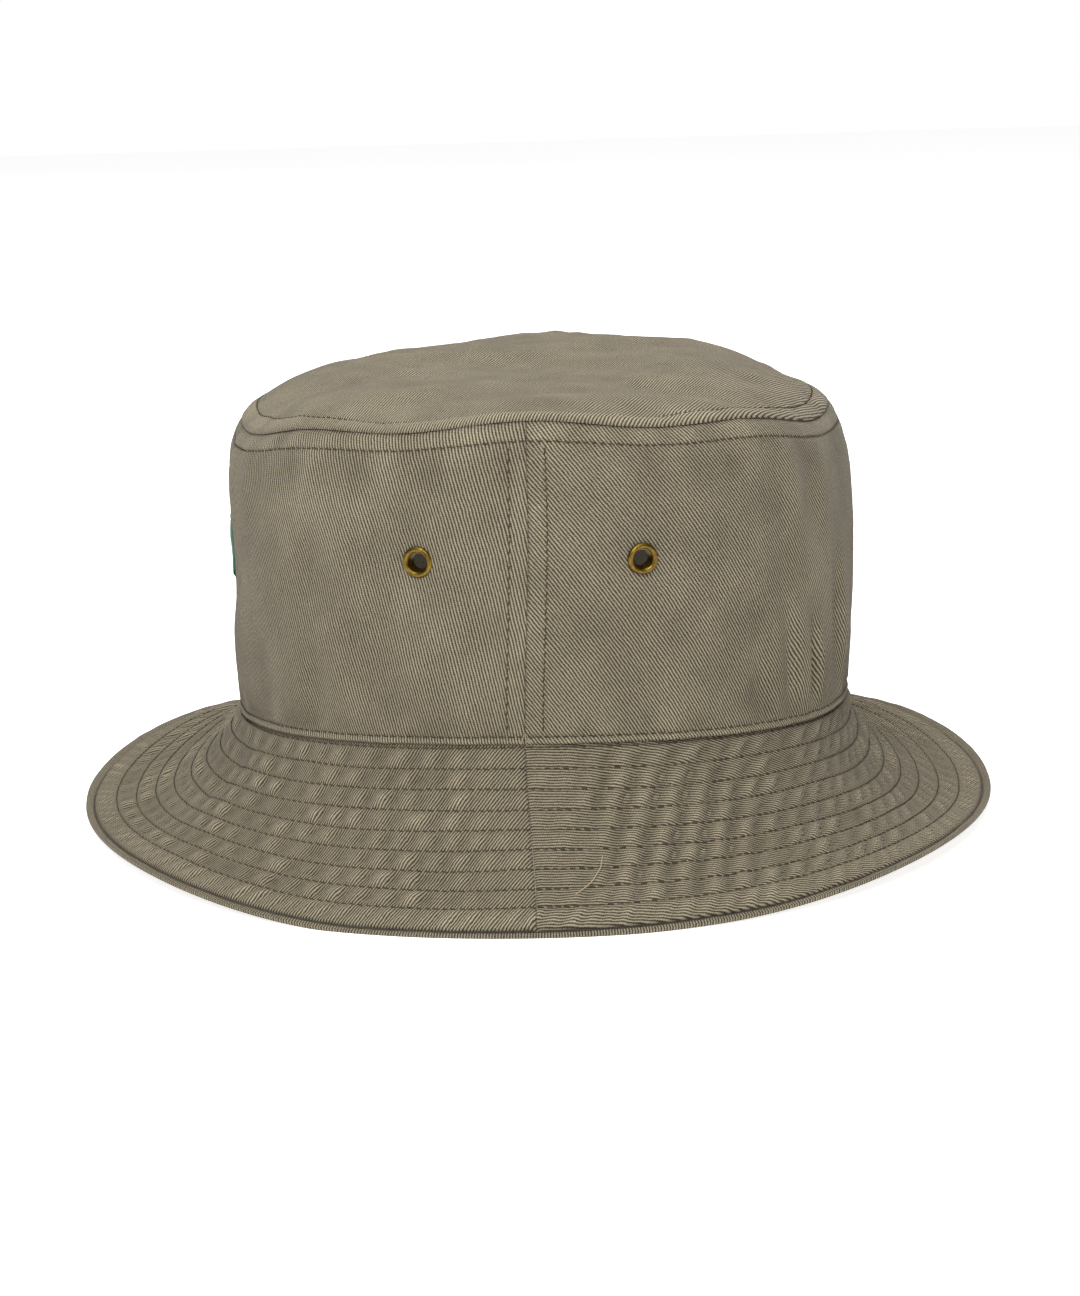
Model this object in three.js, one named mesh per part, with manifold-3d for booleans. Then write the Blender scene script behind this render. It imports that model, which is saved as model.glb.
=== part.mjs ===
// Bucket hat of washed cotton twill, sewn from flat panels. Millimetres, +Z up.
// The front of the hat faces -Y and the wearer's left is +X. The hat stands on the left and right
// sides of its brim edge, and the origin is the bottom centre of its box.
//
// Every sewn layer follows one of three surfaces: the crown's side wall, the crown's domed tip and the
// brim. A station angle goes round the head oval from +X towards +Y, and a depth is measured inwards
// from the outer face of the cloth.
import * as THREE from 'three';
import Module from 'manifold-3d';
import { LoftGeometry } from 'three/addons/geometries/LoftGeometry.js';
import { mergeVertices } from 'three/addons/utils/BufferGeometryUtils.js';

// Head oval, along the seam between crown and brim, outside the cloth
const OVAL_HALF_LENGTH = 100;
const OVAL_HALF_WIDTH = 93;

// Heights above the surface that the hat stands on
const BASE_SEAM_AT_ENDS = 36;
const BASE_SEAM_AT_SIDES = 45;
const TIP_SEAM_AT_ENDS = 130.5;
const TIP_SEAM_AT_SIDES = 141;
const TIP_TOP = 150.5;
const BRIM_EDGE_AT_FRONT = 6.5;
const BRIM_EDGE_AT_BACK = 4;
const RESTING_HALF_ANGLE = degrees(22.5);

// Crown wall: it swells a little at mid height and rolls in at the shoulder
const WALL_BULGE = 2.5;
const SHOULDER_ROLL = 5.2;
const SHOULDER_SHARPNESS = 14;
const DOME_SQUARENESS = 3.6;

// Brim: its slope below the horizontal at the crown seam and at the outer edge
const BRIM_WIDTH = 61;
const BRIM_SLOPE_SIDE = [degrees(61), degrees(29)];
const BRIM_SLOPE_FRONT = [degrees(64), degrees(-8)];
const BRIM_SLOPE_BACK = [degrees(84), degrees(-17)];
const DIAGONAL_FLARE = degrees(2.4);
const RESTING_STRIP = 2.5;

// Cloth layers, as depths of their outer and inner faces
const TWILL = 0.8;
const LAYER_GAP = 0.5;
const INTERLINING = 0.5;
const SWEATBAND_DEPTH = 1.4;
const SWEATBAND_HEIGHT = 32;
const SEAM_CLEARANCE = 1;
const TAPE_DEPTH = 1.5;
const TAPE = 0.4;
const SIDE_TAPE_WIDTH = 12;
const TIP_TAPE_HEIGHT = 8;
const LABEL = 0.4;

// Stitching
const THREAD_HALF_WIDTH = 0.35;
const THREAD_LIFT = 0.32;
const THREAD_HEIGHT = 0.45;
const BRIM_ROWS = 9;
const FIRST_ROW_FROM_SEAM = 0.8;
const LAST_ROW_FROM_EDGE = 8;
const BASE_TOPSTITCH_HEIGHT = 2.5;
const TIP_TOPSTITCH_INSET = 5;
const SIDE_TOPSTITCH_OFFSET = 5.4;
const STITCH_CROSSING_GAP = 1.2;

// Eyelets, as radii and as heights out of the cloth's outer face
const EYELET_FROM_SIDE_SEAM = 32.7;
const EYELET_ABOVE_BASE_SEAM = 57;
const EYELET_BORE = 2.5;
const EYELET_BARREL = 2.95;
const EYELET_FLANGE = 4.75;
const EYELET_PROUD = 1.35;
const EYELET_ROLL = 3.7;
const EYELET_REACH_INSIDE = 2.6;
const CLOTH_HOLE = 3.3;
const WASHER_BORE = 3.25;
const WASHER_FACE_DEPTHS = [1.35, 1.9];
const ROUND_SEGMENTS = 16;

// Front embroidery: a plain leaf in satin stitch
const LEAF_HEIGHT = 31;
const LEAF_HALF_WIDTH = 9;
const LEAF_CENTRE_ABOVE_SEAM = 56;
const LEAF_FACES = [-0.5, -1.2];

// Labels
const SIZE_LABEL_HEIGHT = 18;
const SIZE_LABEL_BOTTOM = 8;
const SIZE_LABEL_HALF_ANGLE = degrees(15);
const CARE_LABEL_WIDTH = 22;
const CARE_LABEL_LENGTH = 28;
const CARE_LABEL_THICKNESS = 0.5;
const CARE_LABEL_X = 89.75;

const STATION = degrees(7.5);
const SEAM_HALF_GAP = 0.15;
const LEFT = 0;
const BACK = Math.PI / 2;
const RIGHT = Math.PI;
const FRONT = -Math.PI / 2;

const TWILL_CLOTH = { color: 0x7f7a68, roughness: 0.92, metalness: 0 };
const LINING_CLOTH = { color: 0x8d8774, roughness: 0.9, metalness: 0 };
const STIFFENER = { color: 0xd9d6cb, roughness: 0.95, metalness: 0 };
const THREAD = { color: 0x6a6150, roughness: 0.8, metalness: 0 };
const LABEL_CLOTH = { color: 0xeeeae0, roughness: 0.8, metalness: 0 };
const LEAF_THREAD = { color: 0x3f7a4c, roughness: 0.55, metalness: 0 };
const BRASS = { color: 0x8c7a52, roughness: 0.38, metalness: 1 };

const wasm = await Module();
wasm.setup();

function degrees(angle) {
  return THREE.MathUtils.degToRad(angle);
}

// A value that changes smoothly from the hat's sides to its front or its back
function aroundHat(phi, side, front, back) {
  const end = Math.sin(phi) < 0 ? front : back;
  return THREE.MathUtils.lerp(side, end, Math.sin(phi) ** 2);
}

function baseSeamHeight(phi) {
  return aroundHat(phi, BASE_SEAM_AT_SIDES, BASE_SEAM_AT_ENDS, BASE_SEAM_AT_ENDS);
}

function tipSeamHeight(phi) {
  return aroundHat(phi, TIP_SEAM_AT_SIDES, TIP_SEAM_AT_ENDS, TIP_SEAM_AT_ENDS);
}

// A point beside the head oval, at a distance square to it and at a height
function besideOval(phi, outward, height) {
  const normal = new THREE.Vector2(OVAL_HALF_LENGTH * Math.cos(phi), OVAL_HALF_WIDTH * Math.sin(phi));
  normal.normalize();
  return new THREE.Vector3(
    OVAL_HALF_WIDTH * Math.cos(phi) + outward * normal.x,
    OVAL_HALF_LENGTH * Math.sin(phi) + outward * normal.y,
    height,
  );
}

// Reads a smooth surface only on the hat's stations and on its own steps, with flat facets between, so
// that layers and stitches lie evenly on each other
function faceted(surface, steps) {
  return (phi, step, depth) => {
    const station = Math.floor(phi / STATION);
    const row = Math.max(steps.findLastIndex((each, index) => each <= step && index < steps.length - 1), 0);
    const across = phi / STATION - station;
    const along = (step - steps[row]) / (steps[row + 1] - steps[row]);
    const [near, far] = [station, station + 1].map((each) => {
      const start = surface(each * STATION, steps[row], depth);
      return start.lerp(surface(each * STATION, steps[row + 1], depth), along);
    });
    return near.lerp(far, across);
  };
}

// Crown wall: rise goes from 0 at the base seam to 1 at the tip seam
function wallSwell(rise) {
  return WALL_BULGE * Math.sin(Math.PI * rise) - SHOULDER_ROLL * rise ** SHOULDER_SHARPNESS;
}

function smoothWall(phi, rise, depth) {
  const height = THREE.MathUtils.lerp(baseSeamHeight(phi), tipSeamHeight(phi), rise);
  return besideOval(phi, wallSwell(rise) - depth, height);
}

function riseOf(millimetres, phi = LEFT) {
  return millimetres / (tipSeamHeight(phi) - baseSeamHeight(phi));
}

// Crown tip: reach goes from 0 at the middle to 1 at the tip seam
function smoothTip(phi, reach, depth) {
  const rim = besideOval(phi, wallSwell(1), tipSeamHeight(phi) + LAYER_GAP + TWILL);
  const height = THREE.MathUtils.lerp(TIP_TOP, rim.z, reach ** DOME_SQUARENESS) - depth;
  return new THREE.Vector3(rim.x * reach, rim.y * reach, height);
}

// The resting height of the underside of the brim's edge
function brimEdgeHeight(phi) {
  const lift = THREE.MathUtils.smoothstep(Math.abs(Math.sin(phi)), Math.sin(RESTING_HALF_ANGLE), 1);
  return lift * (Math.sin(phi) < 0 ? BRIM_EDGE_AT_FRONT : BRIM_EDGE_AT_BACK);
}

// How far the brim has gone outwards and down at a share of its width. Its slope changes evenly.
function brimRun(phi, share) {
  const flare = DIAGONAL_FLARE * Math.sin(2 * phi) ** 2;
  const start = aroundHat(phi, BRIM_SLOPE_SIDE[0], BRIM_SLOPE_FRONT[0], BRIM_SLOPE_BACK[0]) - flare;
  const end = aroundHat(phi, BRIM_SLOPE_SIDE[1], BRIM_SLOPE_FRONT[1], BRIM_SLOPE_BACK[1]) - flare;
  const slope = THREE.MathUtils.lerp(start, end, share);
  const radius = BRIM_WIDTH / (end - start);
  return {
    slope,
    outward: radius * (Math.sin(slope) - Math.sin(start)),
    down: radius * (Math.cos(start) - Math.cos(slope)),
  };
}

// Brim: share goes from 0 at the crown seam to 1 at the outer edge
function smoothBrim(phi, share, depth) {
  const run = brimRun(phi, share);
  const edge = brimRun(phi, 1);
  const edgeTop = brimEdgeHeight(phi) + BRIM_THICKNESS * Math.cos(edge.slope);
  const stretch = (baseSeamHeight(phi) - edgeTop) / edge.down;
  return besideOval(
    phi,
    run.outward - depth * Math.sin(run.slope),
    baseSeamHeight(phi) - run.down * stretch - depth * Math.cos(run.slope),
  );
}

function brimShare(millimetres) {
  return millimetres / BRIM_WIDTH;
}

const BRIM_THICKNESS = 2 * TWILL + INTERLINING + 2 * LAYER_GAP;
const ROW_SPACING = (BRIM_WIDTH - LAST_ROW_FROM_EDGE - FIRST_ROW_FROM_SEAM) / (BRIM_ROWS - 1);
const ROW_SHARES = Array.from({ length: BRIM_ROWS }, (_, row) =>
  brimShare(FIRST_ROW_FROM_SEAM + row * ROW_SPACING));
const TIP_TOPSTITCH_REACH = 1 - TIP_TOPSTITCH_INSET / OVAL_HALF_WIDTH;
const TIP_EDGE_TOPSTITCH_RISE = 1 - riseOf(TIP_TOPSTITCH_INSET);
const WALL_STEPS = [0, 0.2, 0.4, 0.6, 0.8, 0.9, TIP_EDGE_TOPSTITCH_RISE, 1];
const TIP_STEPS = [0, 0.4, 0.65, 0.85, TIP_TOPSTITCH_REACH, 1];
const BRIM_STEPS = [0, 0.2, 0.4, 0.6, 0.8, 1 - brimShare(RESTING_STRIP), 1];
const wall = faceted(smoothWall, WALL_STEPS);
const tip = faceted(smoothTip, TIP_STEPS);
const brim = faceted(smoothBrim, BRIM_STEPS);

// Station angles from one angle to another, on the hat's common stations and at both ends
function stations(from, to) {
  const angles = [from];
  for (let step = Math.ceil(from / STATION + 0.01); step * STATION < to - 0.01 * STATION; step += 1) {
    angles.push(step * STATION);
  }
  angles.push(to);
  return angles;
}

const FULL_TURN = stations(0, 2 * Math.PI);
const SEAM_HALF_ANGLE = SEAM_HALF_GAP / OVAL_HALF_WIDTH;
const FRONT_HALF = stations(-RIGHT + SEAM_HALF_ANGLE, LEFT - SEAM_HALF_ANGLE);
const BACK_HALF = stations(LEFT + SEAM_HALF_ANGLE, RIGHT - SEAM_HALF_ANGLE);

// A layer of cloth on a surface. Its steps run upwards, and its faces lie at two depths.
function clothLayer(surface, angles, steps, outerDepth, innerDepth) {
  const sections = angles.map((phi) => [
    ...steps.map((step) => surface(phi, step, innerDepth)),
    ...steps.toReversed().map((step) => surface(phi, step, outerDepth)),
  ]);
  return loft(sections, angles !== FULL_TURN);
}

function loft(sections, capped) {
  return new LoftGeometry(sections, { capStart: capped, capEnd: capped });
}

// A stitch line round the hat, standing out of a surface. Its two foot steps run upwards.
function stitchRing(surface, step, halfWidth) {
  const sections = FULL_TURN.map((phi) => [
    surface(phi, step - halfWidth, -THREAD_LIFT),
    surface(phi, step + halfWidth, -THREAD_LIFT),
    surface(phi, step, -THREAD_LIFT - THREAD_HEIGHT),
  ]);
  return loft(sections, false);
}

const hat = new THREE.Group();
const oval = new THREE.Group();
const [frontReach, backReach] = [FRONT, BACK].map((phi) => Math.abs(brim(phi, 1, BRIM_THICKNESS).y));
oval.position.y = (frontReach - backReach) / 2;
hat.add(oval);

function addPiece(name, geometry, finish) {
  const mesh = new THREE.Mesh(geometry, new THREE.MeshStandardMaterial(finish));
  mesh.name = name;
  oval.add(mesh);
  return mesh;
}

// Points an upright turned piece straight out of the wall at an angle and a rise
function placeOnWall(mesh, phi, rise) {
  const outward = wall(phi, rise, -1).sub(wall(phi, rise, 0));
  mesh.position.copy(wall(phi, rise, 0));
  mesh.quaternion.setFromUnitVectors(new THREE.Vector3(0, 1, 0), outward.normalize());
}

function solidOf(geometry) {
  const bare = new THREE.BufferGeometry();
  bare.setAttribute('position', geometry.getAttribute('position'));
  bare.setIndex(geometry.getIndex());
  const merged = mergeVertices(bare, 1e-4);
  return new wasm.Manifold(new wasm.Mesh({
    numProp: 3,
    vertProperties: merged.attributes.position.array,
    triVerts: new Uint32Array(merged.index.array),
  }));
}

function geometryOf(solid) {
  const mesh = solid.getMesh();
  const geometry = new THREE.BufferGeometry();
  geometry.setAttribute('position', new THREE.BufferAttribute(mesh.vertProperties, 3));
  geometry.setIndex(new THREE.BufferAttribute(mesh.triVerts, 1));
  return geometry;
}

function eyeletAngle(side, end) {
  const turn = Math.asin(EYELET_FROM_SIDE_SEAM / OVAL_HALF_LENGTH);
  const towardsBack = end === 'back' ? turn : -turn;
  return side === 'left' ? towardsBack : Math.PI - towardsBack;
}

const EYELET_RISE = riseOf(EYELET_ABOVE_BASE_SEAM);

function eyeletPlaces() {
  const places = [];
  for (const side of ['left', 'right']) {
    for (const end of ['front', 'back']) {
      places.push({ label: `${side}_${end}`, end, phi: eyeletAngle(side, end) });
    }
  }
  return places;
}

// A side panel, with a round hole punched through the cloth for each of its eyelets
function sidePanel(end, angles) {
  let panel = solidOf(clothLayer(wall, angles, WALL_STEPS, 0, TWILL));
  for (const place of eyeletPlaces().filter((each) => each.end === end)) {
    const drill = new THREE.Mesh(
      new THREE.CylinderGeometry(CLOTH_HOLE, CLOTH_HOLE, EYELET_FLANGE, ROUND_SEGMENTS),
    );
    placeOnWall(drill, place.phi, EYELET_RISE);
    drill.updateMatrix();
    panel = panel.subtract(solidOf(drill.geometry.applyMatrix4(drill.matrix)));
  }
  return geometryOf(panel);
}

function addCrown() {
  addPiece('side_panel_front', sidePanel('front', FRONT_HALF), TWILL_CLOTH);
  addPiece('side_panel_back', sidePanel('back', BACK_HALF), TWILL_CLOTH);
  const tipSections = FULL_TURN.map((phi) => [
    ...TIP_STEPS.map((step) => tip(phi, step, 0)),
    ...TIP_STEPS.toReversed().map((step) => tip(phi, step, TWILL)),
  ]);
  addPiece('crown_tip', new LoftGeometry(tipSections, { closed: false }), TWILL_CLOTH);
}

// The lower brim layer. Its edge has a narrow level strip, which the hat stands on.
function brimUnder(angles) {
  const top = BRIM_THICKNESS - TWILL;
  const sections = angles.map((phi) => {
    const underside = BRIM_STEPS.toReversed().map((step) => brim(phi, step, BRIM_THICKNESS));
    underside[1].z = underside[0].z;
    return [...underside, ...BRIM_STEPS.map((step) => brim(phi, step, top))];
  });
  return loft(sections, true);
}

function addBrim() {
  const liningTop = TWILL + LAYER_GAP;
  for (const [end, angles] of [['front', FRONT_HALF], ['back', BACK_HALF]]) {
    const steps = BRIM_STEPS.toReversed();
    const lining = clothLayer(brim, angles, steps, liningTop, liningTop + INTERLINING);
    addPiece(`brim_upper_${end}`, clothLayer(brim, angles, steps, 0, TWILL), TWILL_CLOTH);
    addPiece(`brim_interlining_${end}`, lining, STIFFENER);
    addPiece(`brim_under_${end}`, brimUnder(angles), TWILL_CLOTH);
  }
}

function addSweatband() {
  const innerFace = SWEATBAND_DEPTH + TWILL;
  const steps = [riseOf(SEAM_CLEARANCE), WALL_STEPS[1], riseOf(SWEATBAND_HEIGHT)];
  const band = clothLayer(wall, FULL_TURN, steps, SWEATBAND_DEPTH, innerFace);
  addPiece('sweatband', band, LINING_CLOTH);
  const rise = riseOf(BASE_TOPSTITCH_HEIGHT);
  const halfWidth = riseOf(THREAD_HALF_WIDTH);
  const sections = FULL_TURN.map((phi) => [
    wall(phi, rise - halfWidth, innerFace + THREAD_LIFT),
    wall(phi, rise, innerFace + THREAD_LIFT + THREAD_HEIGHT),
    wall(phi, rise + halfWidth, innerFace + THREAD_LIFT),
  ]);
  addPiece('sweatband_topstitch', loft(sections, false), THREAD);
}

function addTapes() {
  const inner = TAPE_DEPTH + TAPE;
  const top = 1 - riseOf(2 * SEAM_CLEARANCE);
  const bottom = top - riseOf(TIP_TAPE_HEIGHT);
  const rollSteps = WALL_STEPS.filter((step) => step > bottom && step < top);
  const tipTape = clothLayer(wall, FULL_TURN, [bottom, ...rollSteps, top], TAPE_DEPTH, inner);
  addPiece('tip_seam_tape', tipTape, LINING_CLOTH);
  const halfAngle = SIDE_TAPE_WIDTH / 2 / OVAL_HALF_LENGTH;
  const lowest = riseOf(SWEATBAND_HEIGHT + SEAM_CLEARANCE);
  const highest = bottom - riseOf(SEAM_CLEARANCE);
  const steps = [lowest, ...WALL_STEPS.filter((step) => step > lowest && step < highest), highest];
  for (const [side, middle] of [['left', LEFT], ['right', RIGHT]]) {
    const angles = [middle - halfAngle, middle, middle + halfAngle];
    addPiece(`side_seam_tape_${side}`, clothLayer(wall, angles, steps, TAPE_DEPTH, inner), LINING_CLOTH);
  }
}

function addRingStitches() {
  const wallWidth = riseOf(THREAD_HALF_WIDTH);
  const baseRing = stitchRing(wall, riseOf(BASE_TOPSTITCH_HEIGHT), wallWidth);
  addPiece('crown_base_topstitch', baseRing, THREAD);
  addPiece('tip_edge_topstitch', stitchRing(wall, TIP_EDGE_TOPSTITCH_RISE, wallWidth), THREAD);
  const tipWidth = -THREAD_HALF_WIDTH / OVAL_HALF_WIDTH;
  addPiece('tip_topstitch', stitchRing(tip, TIP_TOPSTITCH_REACH, tipWidth), THREAD);
  ROW_SHARES.forEach((share, row) => {
    const ring = stitchRing(brim, share, -brimShare(THREAD_HALF_WIDTH));
    addPiece(`brim_stitch_row_${row + 1}`, ring, THREAD);
  });
}

// A stitch line up the wall, beside a side seam and short of the rings at its ends
function sideTopstitch(phi) {
  const halfAngle = THREAD_HALF_WIDTH / OVAL_HALF_LENGTH;
  const bottom = riseOf(BASE_TOPSTITCH_HEIGHT + STITCH_CROSSING_GAP);
  const top = TIP_EDGE_TOPSTITCH_RISE - riseOf(STITCH_CROSSING_GAP);
  const rises = [bottom, ...WALL_STEPS.filter((step) => step > bottom && step < top), top];
  const sections = rises.map((rise) => [
    wall(phi - halfAngle, rise, -THREAD_LIFT),
    wall(phi, rise, -THREAD_LIFT - THREAD_HEIGHT),
    wall(phi + halfAngle, rise, -THREAD_LIFT),
  ]);
  return loft(sections, true);
}

function addSideStitches() {
  const turn = SIDE_TOPSTITCH_OFFSET / OVAL_HALF_LENGTH;
  for (const [side, middle, towardsBack] of [['left', LEFT, turn], ['right', RIGHT, -turn]]) {
    addPiece(`${side}_seam_topstitch_front`, sideTopstitch(middle - towardsBack), THREAD);
    addPiece(`${side}_seam_topstitch_back`, sideTopstitch(middle + towardsBack), THREAD);
  }
}

function eyeletGeometry() {
  const flangeFoot = THREAD_LIFT + SEAM_HALF_GAP;
  const rim = (EYELET_PROUD + flangeFoot) / 2;
  const rollFace = -EYELET_REACH_INSIDE + TAPE;
  const profile = [
    [EYELET_BORE, -EYELET_REACH_INSIDE],
    [EYELET_ROLL, -EYELET_REACH_INSIDE],
    [EYELET_ROLL, rollFace],
    [EYELET_BARREL, rollFace],
    [EYELET_BARREL, flangeFoot],
    [EYELET_FLANGE, flangeFoot],
    [EYELET_FLANGE, rim],
    [EYELET_FLANGE - TWILL, EYELET_PROUD],
    [EYELET_BARREL, EYELET_PROUD],
    [EYELET_BORE, rim],
    [EYELET_BORE, -EYELET_REACH_INSIDE],
  ];
  return new THREE.LatheGeometry(profile.map(([x, y]) => new THREE.Vector2(x, y)), ROUND_SEGMENTS);
}

function washerGeometry() {
  const [face, back] = WASHER_FACE_DEPTHS;
  const profile = [
    [WASHER_BORE, -back],
    [EYELET_FLANGE, -back],
    [EYELET_FLANGE, -face],
    [WASHER_BORE, -face],
    [WASHER_BORE, -back],
  ];
  return new THREE.LatheGeometry(profile.map(([x, y]) => new THREE.Vector2(x, y)), ROUND_SEGMENTS);
}

function addEyelets() {
  for (const place of eyeletPlaces()) {
    placeOnWall(addPiece(`eyelet_${place.label}`, eyeletGeometry(), BRASS), place.phi, EYELET_RISE);
    placeOnWall(addPiece(`eyelet_washer_${place.label}`, washerGeometry(), BRASS), place.phi, EYELET_RISE);
  }
}

// A pointed oval leaf that lies on the front of the wall
function addEmbroidery() {
  const rows = 8;
  const columns = 6;
  const tipShare = 0.03;
  const sections = [];
  for (let row = 0; row <= rows; row += 1) {
    const share = THREE.MathUtils.lerp(tipShare, 1 - tipShare, row / rows);
    const rise = riseOf(LEAF_CENTRE_ABOVE_SEAM + (share - 0.5) * LEAF_HEIGHT, FRONT);
    const halfAngle = LEAF_HALF_WIDTH * Math.sin(Math.PI * share) / OVAL_HALF_WIDTH;
    const angles = Array.from({ length: columns + 1 }, (_, column) =>
      FRONT + halfAngle * (2 * column / columns - 1));
    sections.push([
      ...angles.map((phi) => wall(phi, rise, LEAF_FACES[1])),
      ...angles.toReversed().map((phi) => wall(phi, rise, LEAF_FACES[0])),
    ]);
  }
  addPiece('front_embroidery', loft(sections, true), LEAF_THREAD);
}

function addLabels() {
  const outer = SWEATBAND_DEPTH + TWILL + LAYER_GAP;
  const steps = [riseOf(SIZE_LABEL_BOTTOM), WALL_STEPS[1], riseOf(SIZE_LABEL_BOTTOM + SIZE_LABEL_HEIGHT)];
  const angles = stations(BACK - SIZE_LABEL_HALF_ANGLE, BACK + SIZE_LABEL_HALF_ANGLE);
  addPiece('size_label', clothLayer(wall, angles, steps, outer, outer + LABEL), LABEL_CLOTH);
  const careLabel = addPiece(
    'care_label',
    new THREE.BoxGeometry(CARE_LABEL_THICKNESS, CARE_LABEL_WIDTH, CARE_LABEL_LENGTH),
    LABEL_CLOTH,
  );
  const hingeHeight = BASE_SEAM_AT_SIDES + SWEATBAND_HEIGHT;
  careLabel.position.set(CARE_LABEL_X, 0, hingeHeight - CARE_LABEL_LENGTH / 2);
}

addCrown();
addBrim();
addSweatband();
addTapes();
addRingStitches();
addSideStitches();
addEyelets();
addEmbroidery();
addLabels();

export default hat;
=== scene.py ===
"""Bucket hat of washed cotton twill: the look of each sewn piece, on the CAD frame.

Lengths are millimetres until a mesh is made. +X is the wearer's left and -Y is the front. A station
angle phi goes round the head oval from +X towards +Y, and a depth goes inwards from the cloth's face.
"""

import bpy
import numpy as np
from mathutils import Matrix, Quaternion, Vector


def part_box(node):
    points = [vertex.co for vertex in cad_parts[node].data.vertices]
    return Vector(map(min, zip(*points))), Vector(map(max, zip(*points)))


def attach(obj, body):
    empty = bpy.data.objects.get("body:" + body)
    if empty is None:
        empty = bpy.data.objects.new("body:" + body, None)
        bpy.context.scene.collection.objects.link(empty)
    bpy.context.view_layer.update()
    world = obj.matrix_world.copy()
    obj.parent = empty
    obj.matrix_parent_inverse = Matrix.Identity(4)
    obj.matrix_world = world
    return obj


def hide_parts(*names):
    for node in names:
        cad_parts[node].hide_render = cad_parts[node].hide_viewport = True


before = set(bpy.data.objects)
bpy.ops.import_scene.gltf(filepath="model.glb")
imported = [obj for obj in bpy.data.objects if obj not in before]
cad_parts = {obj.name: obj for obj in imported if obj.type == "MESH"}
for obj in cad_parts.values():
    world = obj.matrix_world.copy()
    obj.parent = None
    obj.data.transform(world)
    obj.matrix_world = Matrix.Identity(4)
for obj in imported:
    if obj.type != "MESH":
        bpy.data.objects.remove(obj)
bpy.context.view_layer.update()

MM = 0.001
SEED = 11

# Head oval and heights of the seams, as in the CAD part
OVAL_HALF_LENGTH = 100.0
OVAL_HALF_WIDTH = 93.0
BASE_SEAM_AT_ENDS = 36.0
BASE_SEAM_AT_SIDES = 45.0
TIP_SEAM_AT_ENDS = 130.5
TIP_SEAM_AT_SIDES = 141.0
TIP_TOP = 150.5
NOMINAL_WALL = TIP_SEAM_AT_SIDES - BASE_SEAM_AT_SIDES
BRIM_EDGE_AT_FRONT = 6.5
BRIM_EDGE_AT_BACK = 4.0
RESTING_HALF_ANGLE = np.radians(22.5)
WALL_BULGE = 2.5
SHOULDER_ROLL = 5.2
SHOULDER_SHARPNESS = 14
DOME_SQUARENESS_SIDE = 3.6
DOME_SQUARENESS_FRONT = 5.6
DOME_SQUARENESS_BACK = 4.6
BRIM_WIDTH = 61.0
BRIM_SLOPE_SIDE = np.radians([61, 29])
BRIM_SLOPE_FRONT = np.radians([64, -8])
BRIM_SLOPE_BACK = np.radians([84, -17])
DIAGONAL_FLARE = np.radians(2.4)

# Cloth layers, as depths below the outer face
TWILL = 0.8
LAYER_GAP = 0.5
INTERLINING = 0.5
BRIM_THICKNESS = 2 * TWILL + INTERLINING + 2 * LAYER_GAP
SWEATBAND_DEPTH = 1.4
SWEATBAND_HEIGHT = 32.0
TAPE_DEPTH = 1.5
TAPE = 0.4
LABEL = 0.4
SEAM_HALF_GAP = 0.02
TIP_SEAM_GAP = 0.12

# Stitch lines
FIRST_ROW_FROM_SEAM = 0.8
LAST_ROW_FROM_EDGE = 8.0
UPPER_EDGE = BRIM_WIDTH - 0.7
LOWER_EDGE = BRIM_WIDTH + 1.5
BRIM_ROWS = 9
ROW_SPACING = (BRIM_WIDTH - LAST_ROW_FROM_EDGE - FIRST_ROW_FROM_SEAM) / (BRIM_ROWS - 1)
BASE_TOPSTITCH = 2.5
TIP_TOPSTITCH = 5.0
SIDE_TOPSTITCH = 5.4
STITCH_PITCH = 2.6
THREAD_RADIUS = 0.19

# Eyelets and the leaf
EYELET_FROM_SIDE_SEAM = 32.7
EYELET_ABOVE_BASE_SEAM = 57.0
CLOTH_HOLE = 3.3
HOLE_BLEND = 10.0
LEAF_HEIGHT = 31.0
LEAF_HALF_WIDTH = 9.0
LEAF_CENTRE_ABOVE_SEAM = 56.0

# Flat patterns: the side panels and brim panels are cut as arcs
SIDE_PANEL_RADIUS = 717.0
BRIM_PANEL_RADIUS = 130.8
WALE_ANGLE = np.radians(115)
TIP_WALE_ANGLE = np.radians(155)
# The number of each piece's cloth, far enough apart that no two share their blotches
CLOTH_NUMBER = {"folded": 0.0, "side_front": 100.0, "side_back": 300.0, "tip": 500.0, "brim_upper": 700.0,
                "brim_under": 900.0, "interlining": 1100.0, "inside": 1300.0, "care_label": 1500.0}

LEFT, BACK, RIGHT, FRONT = 0.0, np.pi / 2, np.pi, -np.pi / 2
PANEL_CENTRE = {"front": FRONT, "back": BACK}


# -------- numbers and noise

def lerp(start, end, share):
    return start + (end - start) * share


def smoothstep(value, low, high):
    share = np.clip((value - low) / (high - low), 0, 1)
    return share * share * (3 - 2 * share)


def bell(value, width):
    return np.exp(-(value / width) ** 2)


LATTICE_SIZE = 64
LATTICE = np.random.default_rng(SEED).uniform(-1, 1, (LATTICE_SIZE, LATTICE_SIZE, 8))


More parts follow.
